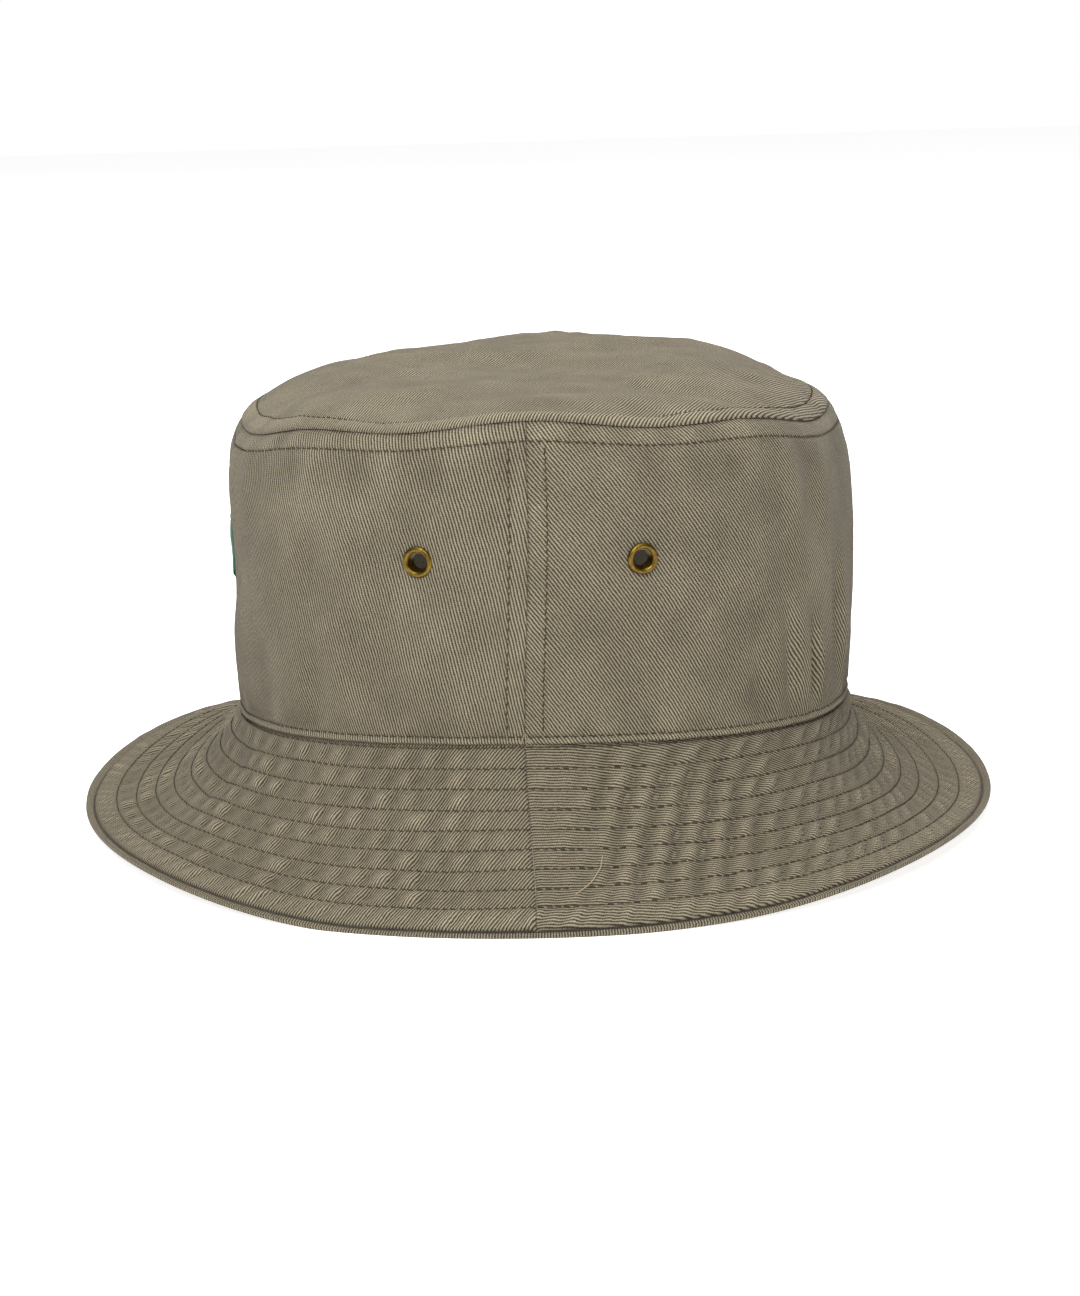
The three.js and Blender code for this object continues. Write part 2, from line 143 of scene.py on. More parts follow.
def noise(x, y, layer=0, period=LATTICE_SIZE):
    """Smooth random bumps between -1 and 1, one unit apart, in a plane. A layer has its own bumps."""
    x, y, layer = np.broadcast_arrays(x, y, layer)
    low = [np.floor(axis).astype(int) for axis in (x, y)]
    part = [axis - floor for axis, floor in zip((x, y), low)]
    part = [share * share * (3 - 2 * share) for share in part]
    page = np.mod(np.round(layer).astype(int), LATTICE.shape[2])
    total = np.zeros(x.shape)
    for step_x in (0, 1):
        for step_y in (0, 1):
            weight = (part[0] if step_x else 1 - part[0]) * (part[1] if step_y else 1 - part[1])
            column = np.mod(np.mod(low[0] + step_x, period), LATTICE_SIZE)
            total += weight * LATTICE[column, np.mod(low[1] + step_y, LATTICE_SIZE), page]
    return total


# -------- the hat's smooth surfaces

def around_hat(phi, side, front, back):
    return lerp(side, np.where(np.sin(phi) < 0, front, back), np.sin(phi) ** 2)


def base_seam_height(phi):
    return around_hat(phi, BASE_SEAM_AT_SIDES, BASE_SEAM_AT_ENDS, BASE_SEAM_AT_ENDS)


def tip_seam_height(phi):
    return around_hat(phi, TIP_SEAM_AT_SIDES, TIP_SEAM_AT_ENDS, TIP_SEAM_AT_ENDS)


def wall_height(phi):
    return tip_seam_height(phi) - base_seam_height(phi)


def beside_oval(phi, outward, height):
    normal = np.stack([OVAL_HALF_LENGTH * np.cos(phi), OVAL_HALF_WIDTH * np.sin(phi)], -1)
    normal /= np.linalg.norm(normal, axis=-1, keepdims=True)
    x = OVAL_HALF_WIDTH * np.cos(phi) + outward * normal[..., 0]
    y = OVAL_HALF_LENGTH * np.sin(phi) + outward * normal[..., 1]
    return np.stack(np.broadcast_arrays(x, y + OVAL_Y, height), -1)


SEAM_DRIFT = 3.2
SEAM_DRIFT_WHOLE_AT = -8


def seam_drift(place, reach):
    """The washed hat is a little twisted: its side seams drift towards the front near the base seam."""
    return -SEAM_DRIFT * smoothstep(place, reach, SEAM_DRIFT_WHOLE_AT) / OVAL_HALF_LENGTH


def wall_swell(rise):
    return WALL_BULGE * np.sin(np.pi * rise) - SHOULDER_ROLL * np.abs(rise) ** SHOULDER_SHARPNESS


# Where the soft brim's edge stands higher: angle in degrees and rise, and the half width of each in degrees
EDGE_LIFTS = [(-128, 3.6), (128, 2.2), (50, 2.2)]
EDGE_LIFT_HALF_WIDTH = 24


def brim_edge_height(phi):
    lift = smoothstep(np.abs(np.sin(phi)), np.sin(RESTING_HALF_ANGLE), 1)
    uneven = sum(rise * bell((np.degrees(phi) - at + 180) % 360 - 180, EDGE_LIFT_HALF_WIDTH)
                 for at, rise in EDGE_LIFTS)
    return lift * np.where(np.sin(phi) < 0, BRIM_EDGE_AT_FRONT, BRIM_EDGE_AT_BACK) + uneven


def brim_slope(phi, share):
    flare = DIAGONAL_FLARE * np.sin(2 * phi) ** 2
    ends = (BRIM_SLOPE_SIDE, BRIM_SLOPE_FRONT, BRIM_SLOPE_BACK)
    start, end = (around_hat(phi, *(slopes[place] for slopes in ends)) - flare for place in (0, 1))
    return start, end, lerp(start, end, share)


def brim_run(phi, share):
    """How far the brim has gone outwards and down at a share of its width."""
    start, end, slope = brim_slope(phi, share)
    radius = BRIM_WIDTH / (end - start)
    return radius * (np.sin(slope) - np.sin(start)), radius * (np.cos(start) - np.cos(slope)), slope


OVAL_Y = 0.0
REACH = [abs(beside_oval(np.array(phi), brim_run(np.array(phi), 1.0)[0]
                         - BRIM_THICKNESS * np.sin(brim_slope(np.array(phi), 1.0)[1]), 0.0)[1])
         for phi in (FRONT, BACK)]
OVAL_Y = float(REACH[0] - REACH[1]) / 2

TURN = np.linspace(-2 * np.pi, 2 * np.pi, 4001)
TURN_STEP = np.hypot(OVAL_HALF_WIDTH * np.sin(TURN), OVAL_HALF_LENGTH * np.cos(TURN)) * (TURN[1] - TURN[0])
ARC = np.cumsum(TURN_STEP)
ARC -= np.interp(0, TURN, ARC)
GIRTH = np.interp(2 * np.pi, TURN, ARC)


def arc_of(phi):
    """Millimetres round the head oval from the left side seam, up to half the girth either way."""
    return np.interp((phi + np.pi) % (2 * np.pi) - np.pi, TURN, ARC)


def angle_of(arc):
    return np.interp(arc, ARC, TURN)


def from_side_seam(phi):
    """Signed millimetres from the nearer side seam."""
    half = GIRTH / 2
    return (arc_of(phi) + half / 2) % half - half / 2


def ring_noise(phi, bumps, y, layer, lean=0.0):
    """Noise with a whole number of bumps round the hat, so that it meets itself."""
    return noise(arc_of(phi) / GIRTH * bumps + lean, y, layer, bumps)


# -------- relief: wrinkles, ridges and puckers

def ring_waves(phi, place, rows):
    """Noise round the hat, from rows of rise, bumps round the hat, length of a bump, start and layer."""
    return sum(rise * ring_noise(phi, bumps, place / length + start, layer)
               for rise, bumps, length, start, layer in rows)


def flat_waves(x, y, rows):
    """Noise over the crown tip, from rows of rise, lengths and starts in x and y, and layer."""
    return sum(rise * noise(x / length_x + start_x, y / length_y + start_y, layer)
               for rise, length_x, length_y, start_x, start_y, layer in rows)


def welt(place, at, half_width, rise):
    """A soft ridge along a seam or stitch line, or a groove where the rise is negative."""
    return rise * bell(place - at, half_width)


def ramp(place, rise, low, high):
    """A smooth step from nothing at the low place to a rise at the high one, or the other way round."""
    return rise * smoothstep(place, low, high)


def allowance(place, row, rise, outer_blend, inner_blend, seam_blend):
    """The cloth between a seam and its topstitch row, lifted by the seam allowance under it."""
    lifted = smoothstep(place, row + outer_blend, row - inner_blend)
    return rise * lifted * smoothstep(place, 0, seam_blend)


def band_puckers(phi, place, rise, bumps, layer, lean):
    """Puckers in the narrow band between the tip seam and a topstitch row."""
    return welt(place, *PUCKER_BAND, rise) * ring_noise(phi, bumps, 0, layer, lean * place)


def fading_puckers(phi, place, rise, bumps, length, layer, start, fade):
    """Puckers that start beyond a stitch row and fade out away from it."""
    return (rise * ring_noise(phi, bumps, place / length, layer)
            * smoothstep(place, *start) * smoothstep(place, *fade))


# Waves and crinkles of the crown and brim, as ring_waves takes them
CROWN_WAVES = [(1.3, 13, 95, 5, 1), (0.95, 26, 50, 0, 2), (0.8, 52, 26, 0, 0)]
CROWN_CRINKLES = [(0.27, 67, 12, 0, 3), (0.08, 233, 3.1, 0, 4)]
BRIM_WAVES = [(0.9, 14, 70, 0, 5), (0.5, 28, 40, 3, 6)]
BRIM_CRINKLES = [(0.06, 250, 2.8, 0, 3)]

# Waves, creases and crinkles of the crown tip, as flat_waves takes them
TIP_WAVES = [(1.3, 46, 52, 9, 4, 3), (1.0, 19, 24, 9, 2, 4)]
TIP_CREASES = [(1.0, 30, 34, 3, 6, 5)]
TIP_CRINKLES = [(0.26, 8, 9, 0, 0, 5), (0.08, 2.6, 3, 0, 0, 6)]

# Ridges and grooves: place across the seam, half width and rise
BASE_RIDGE = (0.9, 1.3, 0.55)
BASE_ROW_GROOVE = (BASE_TOPSTITCH, 0.5, -0.35)
WALL_TIP_SEAM = (0.0, 0.6, -0.45)
WALL_TIP_ROW_GROOVE = (TIP_TOPSTITCH, 0.5, -0.25)
SIDE_SEAM_GROOVE = (0.0, 0.45, -0.34)
SIDE_ROW_GROOVE = (SIDE_TOPSTITCH, 0.45, -0.16)
TIP_SEAM_GROOVE = (0.0, 0.6, -0.35)
TIP_ROW_GROOVE = (TIP_TOPSTITCH, 0.5, -0.3)
BRIM_SEAM_GROOVE = (0.0, 0.45, -0.4)
BRIM_SEAM_RIDGE = (1.8, 1.6, 0.12)
BRIM_ROW_GROOVE = (0.0, 0.6, -0.22)
UNDERSIDE_SEAM_GROOVE = (0.0, 0.5, -0.4)

# Seam allowances: rise, then the widths of the blends outside the row, inside it and at the seam
WALL_TIP_ALLOWANCE = (0.34, 0.6, 1.2, 1.4)
TIP_ALLOWANCE_BLENDS = (0.7, 1.2, 2.5)
TIP_FULLNESS = 0.25
TIP_FULLNESS_AT_SIDES = 0.6
SIDE_ALLOWANCE = (0.16, SIDE_TOPSTITCH + 0.9, SIDE_TOPSTITCH - 0.4)

# Puckers: rise, bumps round the hat and layer, with a lean, or with a length, a start and a fade
PUCKER_BAND = (2.6, 2.4)
WALL_BAND_PUCKERS = (0.55, 82, 6, 0.05)
TIP_BAND_PUCKERS = (0.5, 90, 1, 0.0)
BELOW_TIP_PUCKERS = (0.38, 82, 14, 7, (4.6, 6.5), (22, 6))
ABOVE_BASE_PUCKERS = (0.5, 100, 15, 2, (2.2, 4.5), (20, 4))
INNER_TIP_PUCKERS = (0.45, 80, 14, 2, (4.6, 6.5), (22, 6))
SIDE_PUCKERS = (3.0, 4.0, 0.26)
SIDE_PUCKER_LENGTH = 4.2
SIDE_PUCKER_WIDTH = 30

# The crown wall tucks in under its base seam, and its base ridge is a little uneven
BASE_TUCK = (-2.4, 0.7, -0.8)
BASE_RIDGE_BUMPS = 178
BASE_RIDGE_UNEVENNESS = 0.3

# Upright folds in the crown wall: angle in degrees, middle height, half width, depth and half length
CROWN_FOLDS = [(44, 14, 3.4, 1.4, 16), (52, 16, 3.0, 2.4, 18), (60, 14, 2.6, 3.8, 15),
               (71, 24, 4.0, 2.0, 24), (58, 74, 6.0, 1.7, 18), (-68, 78, 5.0, 1.6, 12),
               (-40, 16, 5.0, 1.2, 14), (20, 30, 9.0, 0.8, 22)]
FOLD_LEAN = 0.12
# A fold is a valley between two swells: places in half widths, and shares of its depth
FOLD_PROFILE = [(0, 1.0), (1.6, -0.7), (-1.6, -0.5)]

# The dent round the leaf
DENT_DEPTH = 3.4
DENT_HALF_WIDTH = 42
DENT_MIDDLE = 50
DENT_HALF_HEIGHT = 27


def fold(phi, height, at_degrees, middle, half_width, depth, half_length):
    """One soft upright fold in the crown wall."""
    across = arc_of(phi) - arc_of(np.radians(at_degrees)) + FOLD_LEAN * (height - middle)
    valley = sum(share * bell(across - place * half_width, half_width) for place, share in FOLD_PROFILE)
    return -depth * valley * bell(height - middle, half_length)


def hat_waves(phi, height):
    """The slow unevenness that all layers of the crown share."""
    folds = sum(fold(phi, height, *shape) for shape in CROWN_FOLDS)
    from_front = (arc_of(phi) + GIRTH / 4 + GIRTH / 2) % GIRTH - GIRTH / 2
    dent = DENT_DEPTH * bell(from_front, DENT_HALF_WIDTH) * bell(height - DENT_MIDDLE, DENT_HALF_HEIGHT)
    return ring_waves(phi, height, CROWN_WAVES) + folds - dent


def wall_detail(phi, height):
    """The outer face of the crown wall, near its seams and stitch lines."""
    top = wall_height(phi) - height
    seam = np.abs(from_side_seam(phi))
    uneven = 1 + BASE_RIDGE_UNEVENNESS * ring_noise(phi, BASE_RIDGE_BUMPS, 0, 5)
    base = welt(height, *BASE_RIDGE) * uneven + welt(height, *BASE_ROW_GROOVE)
    base += ramp(height, *BASE_TUCK)
    tip = allowance(top, TIP_TOPSTITCH, *WALL_TIP_ALLOWANCE) + welt(top, *WALL_TIP_ROW_GROOVE)
    tip += welt(top, *WALL_TIP_SEAM) + band_puckers(phi, top, *WALL_BAND_PUCKERS)
    side = ramp(seam, *SIDE_ALLOWANCE) + welt(seam, *SIDE_SEAM_GROOVE) + welt(seam, *SIDE_ROW_GROOVE)
    side += welt(seam, *SIDE_PUCKERS) * noise(height / SIDE_PUCKER_LENGTH, seam / SIDE_PUCKER_WIDTH, 6)
    puckered = fading_puckers(phi, top, *BELOW_TIP_PUCKERS) + fading_puckers(phi, height, *ABOVE_BASE_PUCKERS)
    return ring_waves(phi, height, CROWN_CRINKLES) + base + tip + side + puckered


TIP_SEAM_WAVE = 1.2
TIP_SEAM_WAVES = 8
# How tightly the seams at the wall's ends hold its waves, and the side seams drift below a height
WALL_END_HOLD = 0.6
TIP_SEAM_HOLD = 5
WALL_DRIFT_HEIGHT = 75
BRIM_DRIFT_WIDTH = 58


def tip_seam_wave(phi):
    return TIP_SEAM_WAVE * np.cos(TIP_SEAM_WAVES * phi)


def smooth_wall(phi, height, depth):
    rise = height / wall_height(phi)
    inside = np.clip(rise, 0, 1)
    lifted = base_seam_height(phi) + height + tip_seam_wave(phi) * inside ** TIP_SEAM_HOLD
    waves = hat_waves(phi, height) * np.sin(np.pi * inside) ** WALL_END_HOLD
    return beside_oval(phi + seam_drift(height, WALL_DRIFT_HEIGHT), wall_swell(rise) + waves - depth, lifted)


def wall_face(phi, height, lift=0.0):
    """The finished outer face of the crown wall."""
    return smooth_wall(phi, height, -wall_detail(phi, height) - lift)


def tip_point(phi, reach, depth):
    """A place on the smooth crown tip, from its middle at a reach of 0 to its seam at 1."""
    rim = beside_oval(phi, wall_swell(1.0), tip_seam_height(phi) + tip_seam_wave(phi) + TIP_SEAM_GAP + TWILL)
    squareness = around_hat(phi, DOME_SQUARENESS_SIDE, DOME_SQUARENESS_FRONT, DOME_SQUARENESS_BACK)
    height = lerp(TIP_TOP, rim[..., 2], reach ** squareness) - depth
    x = rim[..., 0] * reach
    y = (rim[..., 1] - OVAL_Y) * reach + OVAL_Y
    return np.stack([x, y, height], -1)


# Soft folds in the crown tip: middle in x and y, direction in degrees, half width, rise and half length
TIP_FOLDS = [(62, 38, 80, 9, 1.6, 34), (44, 42, 62, 7, -2.2, 30), (52, -38, 100, 8, 1.5, 30),
             (24, -44, 95, 9, -1.8, 36), (70, 8, 88, 6, 1.1, 26), (10, 14, 70, 10, -1.6, 34),
             (-14, -20, 96, 11, 1.3, 40), (30, 4, 108, 7, 1.2, 24)]
TIP_FOLD_BEND = 0.004
TIP_SAG = 1.8
# The deeper sag: middle and half length in x, then in y, and depth
TIP_HOLLOW = (10, 70, -15, 60, 1.4)
TIP_CREASE_DEPTH = 0.9
TIP_CREASE_SHARPNESS = 0.7
TIP_EDGE_HOLD = 9


def tip_fold(x, y, middle_x, middle_y, direction, half_width, rise, half_length):
    along_x, along_y = np.cos(np.radians(direction)), np.sin(np.radians(direction))
    across = (x - middle_x) * along_y - (y - middle_y) * along_x
    along = (x - middle_x) * along_x + (y - middle_y) * along_y
    return rise * bell(across + TIP_FOLD_BEND * along ** 2, half_width) * bell(along, half_length)


def tip_waves(x, y, reach):
    """The slow unevenness of the crown tip, which stays put at its seam."""
    middle_x, half_x, middle_y, half_y, depth = TIP_HOLLOW
    sag = TIP_SAG + depth * bell(x - middle_x, half_x) * bell(y - middle_y, half_y)
    creases = TIP_CREASE_DEPTH * np.abs(flat_waves(x, y, TIP_CREASES)) ** TIP_CREASE_SHARPNESS
    folds = sum(tip_fold(x, y, *shape) for shape in TIP_FOLDS)
    return (flat_waves(x, y, TIP_WAVES) + folds - creases - sag) * (1 - reach ** TIP_EDGE_HOLD)


def tip_detail(phi, x, y, reach):
    """The crown tip's face near its seam and topstitch row, and its crinkles."""
    inset = (1 - reach) * OVAL_HALF_WIDTH
    fullness = TIP_FULLNESS + TIP_FULLNESS_AT_SIDES * bell(np.sin(phi), 0.5)
    edge = allowance(inset, TIP_TOPSTITCH, fullness, *TIP_ALLOWANCE_BLENDS)
    edge += welt(inset, *TIP_SEAM_GROOVE) + welt(inset, *TIP_ROW_GROOVE)
    puckered = band_puckers(phi, inset, *TIP_BAND_PUCKERS) + fading_puckers(phi, inset, *INNER_TIP_PUCKERS)
    return edge + puckered + flat_waves(x, y, TIP_CRINKLES)


def tip_face(phi, reach, lift=0.0):
    flat = tip_point(phi, reach, 0)
    x, y = flat[..., 0], flat[..., 1]
    return tip_point(phi, reach, -tip_waves(x, y, reach) - tip_detail(phi, x, y, reach) - lift)


# The crease at the brim's front left: angle in degrees, lean, half width, and for its valley and its
# swell, the place across it, the rise, and where it fades out and is whole
CREASE_ANGLE = -62
CREASE_LEAN = 0.15
CREASE_HALF_WIDTH = 7
CREASE_PARTS = [(0, -1.5, (40, 22)), (13, 0.8, (44, 24))]
BRIM_WAVE_START = (0, 14)
BRIM_WAVE_END = (BRIM_WIDTH + 8, 48)


def brim_waves(phi, run):
    """Soft waves and the crease at the front left, in all brim layers."""
    bent = arc_of(phi) - arc_of(np.radians(CREASE_ANGLE)) + CREASE_LEAN * run
    crease = sum(rise * bell(bent - place, CREASE_HALF_WIDTH) * smoothstep(run, *fade)
                 for place, rise, fade in CREASE_PARTS)
    waves = ring_waves(phi, run, BRIM_WAVES)
    return (waves + crease) * smoothstep(run, *BRIM_WAVE_START) * smoothstep(run, *BRIM_WAVE_END)


def row_place(run):
    """Which strip between two stitch rows a point is in, and how far across it from 0 to 1."""
    place = (run - FIRST_ROW_FROM_SEAM) / ROW_SPACING
    strip = np.clip(np.floor(place), -1, BRIM_ROWS - 1)
    return strip, place - strip


# Puffs between the stitch rows of the brim
PUFF_PERIOD = 9.2
PUFF_LEAN = 0.6
PUFF_RISE = 2.1
PUFF_SINK = 0.35
PUFF_SWELL = 0.12
PUFF_ROUNDNESS = 1.2
PUFF_STEEPNESS = 1.5
PUFF_SHARPNESS = 1.3
PUFF_WANDER = 0.45
PUFF_WANDER_PERIODS = 3.1
PUFF_HEIGHTS = (0.55, 0.45)
STRIP_SHIFT = 3.1
UNDERSIDE_SHIFT = 52.0
# Steps between noise values, so that each strip and puff has its own
STRIP_STEP = 1.3
CELL_STEP = 1.37
CELL_STRIP_STEP = 2.31
# The puffs are calmer beside the side seams
CALM_SHARE = 0.35
CALM_REACH = (4, 26)
# Ripples across the rows beside the left seam, between two angles in degrees and two distances from the seam
RIPPLE_RISE = 0.8
RIPPLE_PERIOD = 9.6
RIPPLE_LEAN = 0.3
RIPPLE_ANGLES = ((7, 13), (42, 27))
RIPPLE_RUNS = ((3, 12), (56, 46))
RIPPLE_SHARE_OF_PUFFS = 0.55
LAST_GROOVE = BRIM_WIDTH - LAST_ROW_FROM_EDGE + 2


def puckers(place, strip, period):
    """Puffs along a strip that rise slowly and fall steeply, each with its own height."""
    wander = noise(place / (PUFF_WANDER_PERIODS * period), strip * STRIP_STEP, 3)
    place = place / period + PUFF_WANDER * wander
    cell = np.floor(place)
    share = place - cell
    low, spread = PUFF_HEIGHTS
    height = low + spread * noise(cell * CELL_STEP + 0.5, strip * CELL_STRIP_STEP + 0.5, 6)
    return height * np.sin(np.pi * share ** PUFF_STEEPNESS) ** PUFF_SHARPNESS


def ripple_window(phi, run):
    angle = np.degrees((phi + np.pi) % (2 * np.pi) - np.pi)
    window = 1
    for value, edges in ((angle, RIPPLE_ANGLES), (run, RIPPLE_RUNS)):
        for edge in edges:
            window = window * smoothstep(value, *edge)
    return window


def brim_quilt(phi, run, shift=0.0):
    """Grooves at the stitch rows, and uneven puffs between them. Each face of the brim has its own shift."""
    strip, across = row_place(run)
    inside = (strip >= 0) & (strip < BRIM_ROWS - 1)
    width = arc_of(phi) * (BRIM_PANEL_RADIUS + run) / BRIM_PANEL_RADIUS
    puff = np.where(inside, np.sin(np.pi * np.clip(across, 0, 1)) ** PUFF_ROUNDNESS, 0)
    pucker = puckers(width + PUFF_LEAN * run + STRIP_SHIFT * strip + shift, strip, PUFF_PERIOD) - PUFF_SINK
    calm = lerp(CALM_SHARE, 1, smoothstep(np.abs(from_side_seam(phi)), *CALM_REACH))
    window = ripple_window(phi, run)
    ripple = RIPPLE_RISE * np.sin(2 * np.pi * (width + RIPPLE_LEAN * run) / RIPPLE_PERIOD) * window
    nearest = np.abs((run - FIRST_ROW_FROM_SEAM + ROW_SPACING / 2) % ROW_SPACING - ROW_SPACING / 2)
    groove = np.where(run < LAST_GROOVE, welt(nearest, *BRIM_ROW_GROOVE), 0)
    quilted = puff * (PUFF_SWELL + PUFF_RISE * calm * pucker * (1 - RIPPLE_SHARE_OF_PUFFS * window))
    return groove, quilted + ripple * (1 + puff) / 2


# The plain strip outside the last row, and the edge
EDGE_TURN = (1.3, BRIM_WIDTH - LAST_ROW_FROM_EDGE, BRIM_WIDTH - 1)
EDGE_PUFF_RISE = 1.4
EDGE_PUFF_PERIOD = 6.4
EDGE_PUFF_WIDTH = 7.0
EDGE_PUFF_CROWDING = 1.45
EDGE_PUFF_LEAN = 0.8
EDGE_PUFF_SHARPNESS = 0.8
UPPER_ROLL = (1.1, 1.5)
LOWER_ROLL = (0.5, 1.2)
UNDER_CROWN = (-1.5, 1.4, -1.0)
LIP = (0.85, UPPER_EDGE - 0.1, UPPER_EDGE + 0.8)
LIP_UNEVENNESS = 0.3
LIP_BUMPS = 150
# The underside's share of the quilting, and where it lies flat on what the hat stands on
UNDERSIDE_GROOVE_SHARE = 0.9
UNDERSIDE_PUFF_SHARE = 0.6
RESTING_EDGES = (BRIM_WIDTH - 9, BRIM_WIDTH - 5)


def edge_turn(run):
    """How far the upper layer comes down onto the lower one towards the edge."""
    return ramp(run, *EDGE_TURN)


def edge_roll(run, edge, depth, width):
    """How far a layer rolls away from its face over the last of its width."""
    return -depth * smoothstep(run, edge - width, edge) ** 2


def edge_puff(phi, run):
    """Ribs square to the edge in the plain strip outside the last stitch row."""
    across = np.clip((run - BRIM_WIDTH + LAST_ROW_FROM_EDGE) / EDGE_PUFF_WIDTH, 0, 1)
    place = arc_of(phi) * EDGE_PUFF_CROWDING + EDGE_PUFF_LEAN * run
    ribs = puckers(place, float(BRIM_ROWS), EDGE_PUFF_PERIOD)
    return EDGE_PUFF_RISE * ribs * np.sin(np.pi * across) ** EDGE_PUFF_SHARPNESS


def brim_detail(phi, run):
    """How far the brim's upper face stands out."""
    groove, puff = brim_quilt(phi, run)
    seam = np.abs(from_side_seam(phi))
    seams = welt(seam, *BRIM_SEAM_GROOVE) + welt(seam, *BRIM_SEAM_RIDGE)
    edges = edge_roll(run, UPPER_EDGE, *UPPER_ROLL) + ramp(run, *UNDER_CROWN)
    return groove + puff + edge_puff(phi, run) + ring_waves(phi, run, BRIM_CRINKLES) + seams + edges


def brim_under_detail(phi, run):
    """How far the underside stands out, measured into the depth direction."""
    groove, puff = brim_quilt(phi, run, UNDERSIDE_SHIFT)
    seam = np.abs(from_side_seam(phi))
    resting = smoothstep(run, *RESTING_EDGES)
    relief = groove * UNDERSIDE_GROOVE_SHARE + puff * UNDERSIDE_PUFF_SHARE
    relief += welt(seam, *UNDERSIDE_SEAM_GROOVE)
    return relief * (1 - resting) + edge_roll(run, LOWER_EDGE, *LOWER_ROLL)


def lip_rise(phi, run):
    """The lower layer's edge stands up a little outside the upper one, in small scallops."""
    return ramp(run, *LIP) * (1 + LIP_UNEVENNESS * ring_noise(phi, LIP_BUMPS, 1, 2))


def brim_point(phi, run, depth):
    """A place in the brim, at a distance from the base seam along its face and a depth below it."""
    outward, down, slope = brim_run(phi, run / BRIM_WIDTH)
    edge_down = brim_run(phi, 1.0)[1]
    edge_slope = brim_slope(phi, 1.0)[1]
    edge_top = brim_edge_height(phi) + BRIM_THICKNESS * np.cos(edge_slope)
    stretch = (base_seam_height(phi) - edge_top) / edge_down
    inwards = depth - brim_waves(phi, run)
    height = base_seam_height(phi) - down * stretch - inwards * np.cos(slope)
    beside = outward - inwards * np.sin(slope)
    return beside_oval(phi + seam_drift(run, BRIM_DRIFT_WIDTH), beside, np.maximum(height, 0))


def brim_face(phi, run, lift=0.0):
    return brim_point(phi, run, edge_turn(run) - brim_detail(phi, run) - lift)


def brim_underside(phi, run, lift=0.0):
    return brim_point(phi, run, BRIM_THICKNESS + brim_under_detail(phi, run) + lift)


# -------- meshes

# A last step shorter than this share of the one before is joined to it
LEAST_LAST_STEP = 0.4


def spaced(start, end, fine, step, fine_step, reach):
    """Places from start to end, a step apart, and a fine step apart within reach of the fine places."""
    places = [start]
    while places[-1] < end - 1e-9:
        here = places[-1]
        near = any(abs(here - each) < reach for each in fine)
        places.append(here + (fine_step if near else step))
    joined = end - places[-2] < LEAST_LAST_STEP * (places[-1] - places[-2])
    places = np.array(places[:-1] if joined else places)
    places[-1] = end
    return places


def with_exact(places, exact):
    """Moves the nearest place onto each exact value."""
    places = places.copy()
    for value in exact:
        places[np.argmin(np.abs(places - value))] = value
    return places


def mesh_piece(name, points, faces, flat=None, attributes=None):
    """A piece from points in millimetres and quads. Faces marked flat aren't smooth shaded.

    The attributes are the cloth's flat coordinates, and how much paler or darker it is painted: on thread
    this is wear, on cloth partly wear and partly painted shade.
    """
    used, compact = np.unique(faces, return_inverse=True)
    faces = compact.reshape(faces.shape)
    mesh = bpy.data.meshes.new(name)
    mesh.vertices.add(len(used))
    mesh.vertices.foreach_set("co", (points[used] * MM).astype(np.float32).ravel())
    mesh.loops.add(faces.size)
    mesh.loops.foreach_set("vertex_index", faces.astype(np.int32).ravel())
    mesh.polygons.add(len(faces))
    mesh.polygons.foreach_set("loop_start", np.arange(0, faces.size, 4, dtype=np.int32))
    mesh.update(calc_edges=True)
    smooth = np.ones(len(faces), bool) if flat is None else ~flat
    mesh.polygons.foreach_set("use_smooth", smooth)
    for key, values in (attributes or {}).items():
        values = values[used].astype(np.float32)
        kind = "FLOAT_VECTOR" if values.ndim > 1 else "FLOAT"
        target = mesh.attributes.new(key, kind, "POINT")
        target.data.foreach_set("vector" if values.ndim > 1 else "value", values.ravel())
    mesh.validate()
    piece = bpy.data.objects.new(name, mesh)
    bpy.context.scene.collection.objects.link(piece)
    return piece


def shell_faces(shape, keep, closed):
    """Quads of a two-sided sheet on a grid, with rims wherever the kept cells end."""
    columns, rows = shape
    cells = columns if closed else columns - 1
    column, row = np.meshgrid(np.arange(cells), np.arange(rows - 1), indexing="ij")
    nxt = (column + 1) % columns
    corner = [column * rows + row, nxt * rows + row, nxt * rows + row + 1, column * rows + row + 1]
    under = columns * rows
    outer = np.stack(corner, -1)[keep]
    inner = np.stack(corner[::-1], -1)[keep] + under
    rims = []
    padded = np.pad(keep, 1)
    if closed:
        padded[0, 1:-1], padded[-1, 1:-1] = keep[-1], keep[0]
    neighbours = [padded[1:-1, :-2], padded[2:, 1:-1], padded[1:-1, 2:], padded[:-2, 1:-1]]
    for side, beyond in enumerate(neighbours):
        first, second = corner[side], corner[(side + 1) % 4]
        rim = np.stack([second, first, first + under, second + under], -1)
        rims.append(rim[keep & ~beyond])
    rims = np.concatenate(rims)
    faces = np.concatenate([outer, inner, rims])
    return faces, np.arange(len(faces)) >= len(outer) + len(inner)


def shell(name, outer, inner, keep=None, closed=False, cloth=None, wear_and_painted_shade=None):
    """A closed sheet of cloth between two grids of points."""
    columns, rows = outer.shape[:2]
    if keep is None:
        keep = np.ones((columns if closed else columns - 1, rows - 1), bool)
    faces, rims = shell_faces((columns, rows), keep, closed)
    points = np.concatenate([outer.reshape(-1, 3), inner.reshape(-1, 3)])
    attributes = {}
    if cloth is not None:
        attributes["cloth"] = np.concatenate([cloth.reshape(-1, 3)] * 2)
    if wear_and_painted_shade is not None:
        attributes["wear_and_painted_shade"] = np.concatenate([side.ravel() for side in wear_and_painted_shade])
    return mesh_piece(name, points, faces, rims, attributes)


# -------- flat patterns

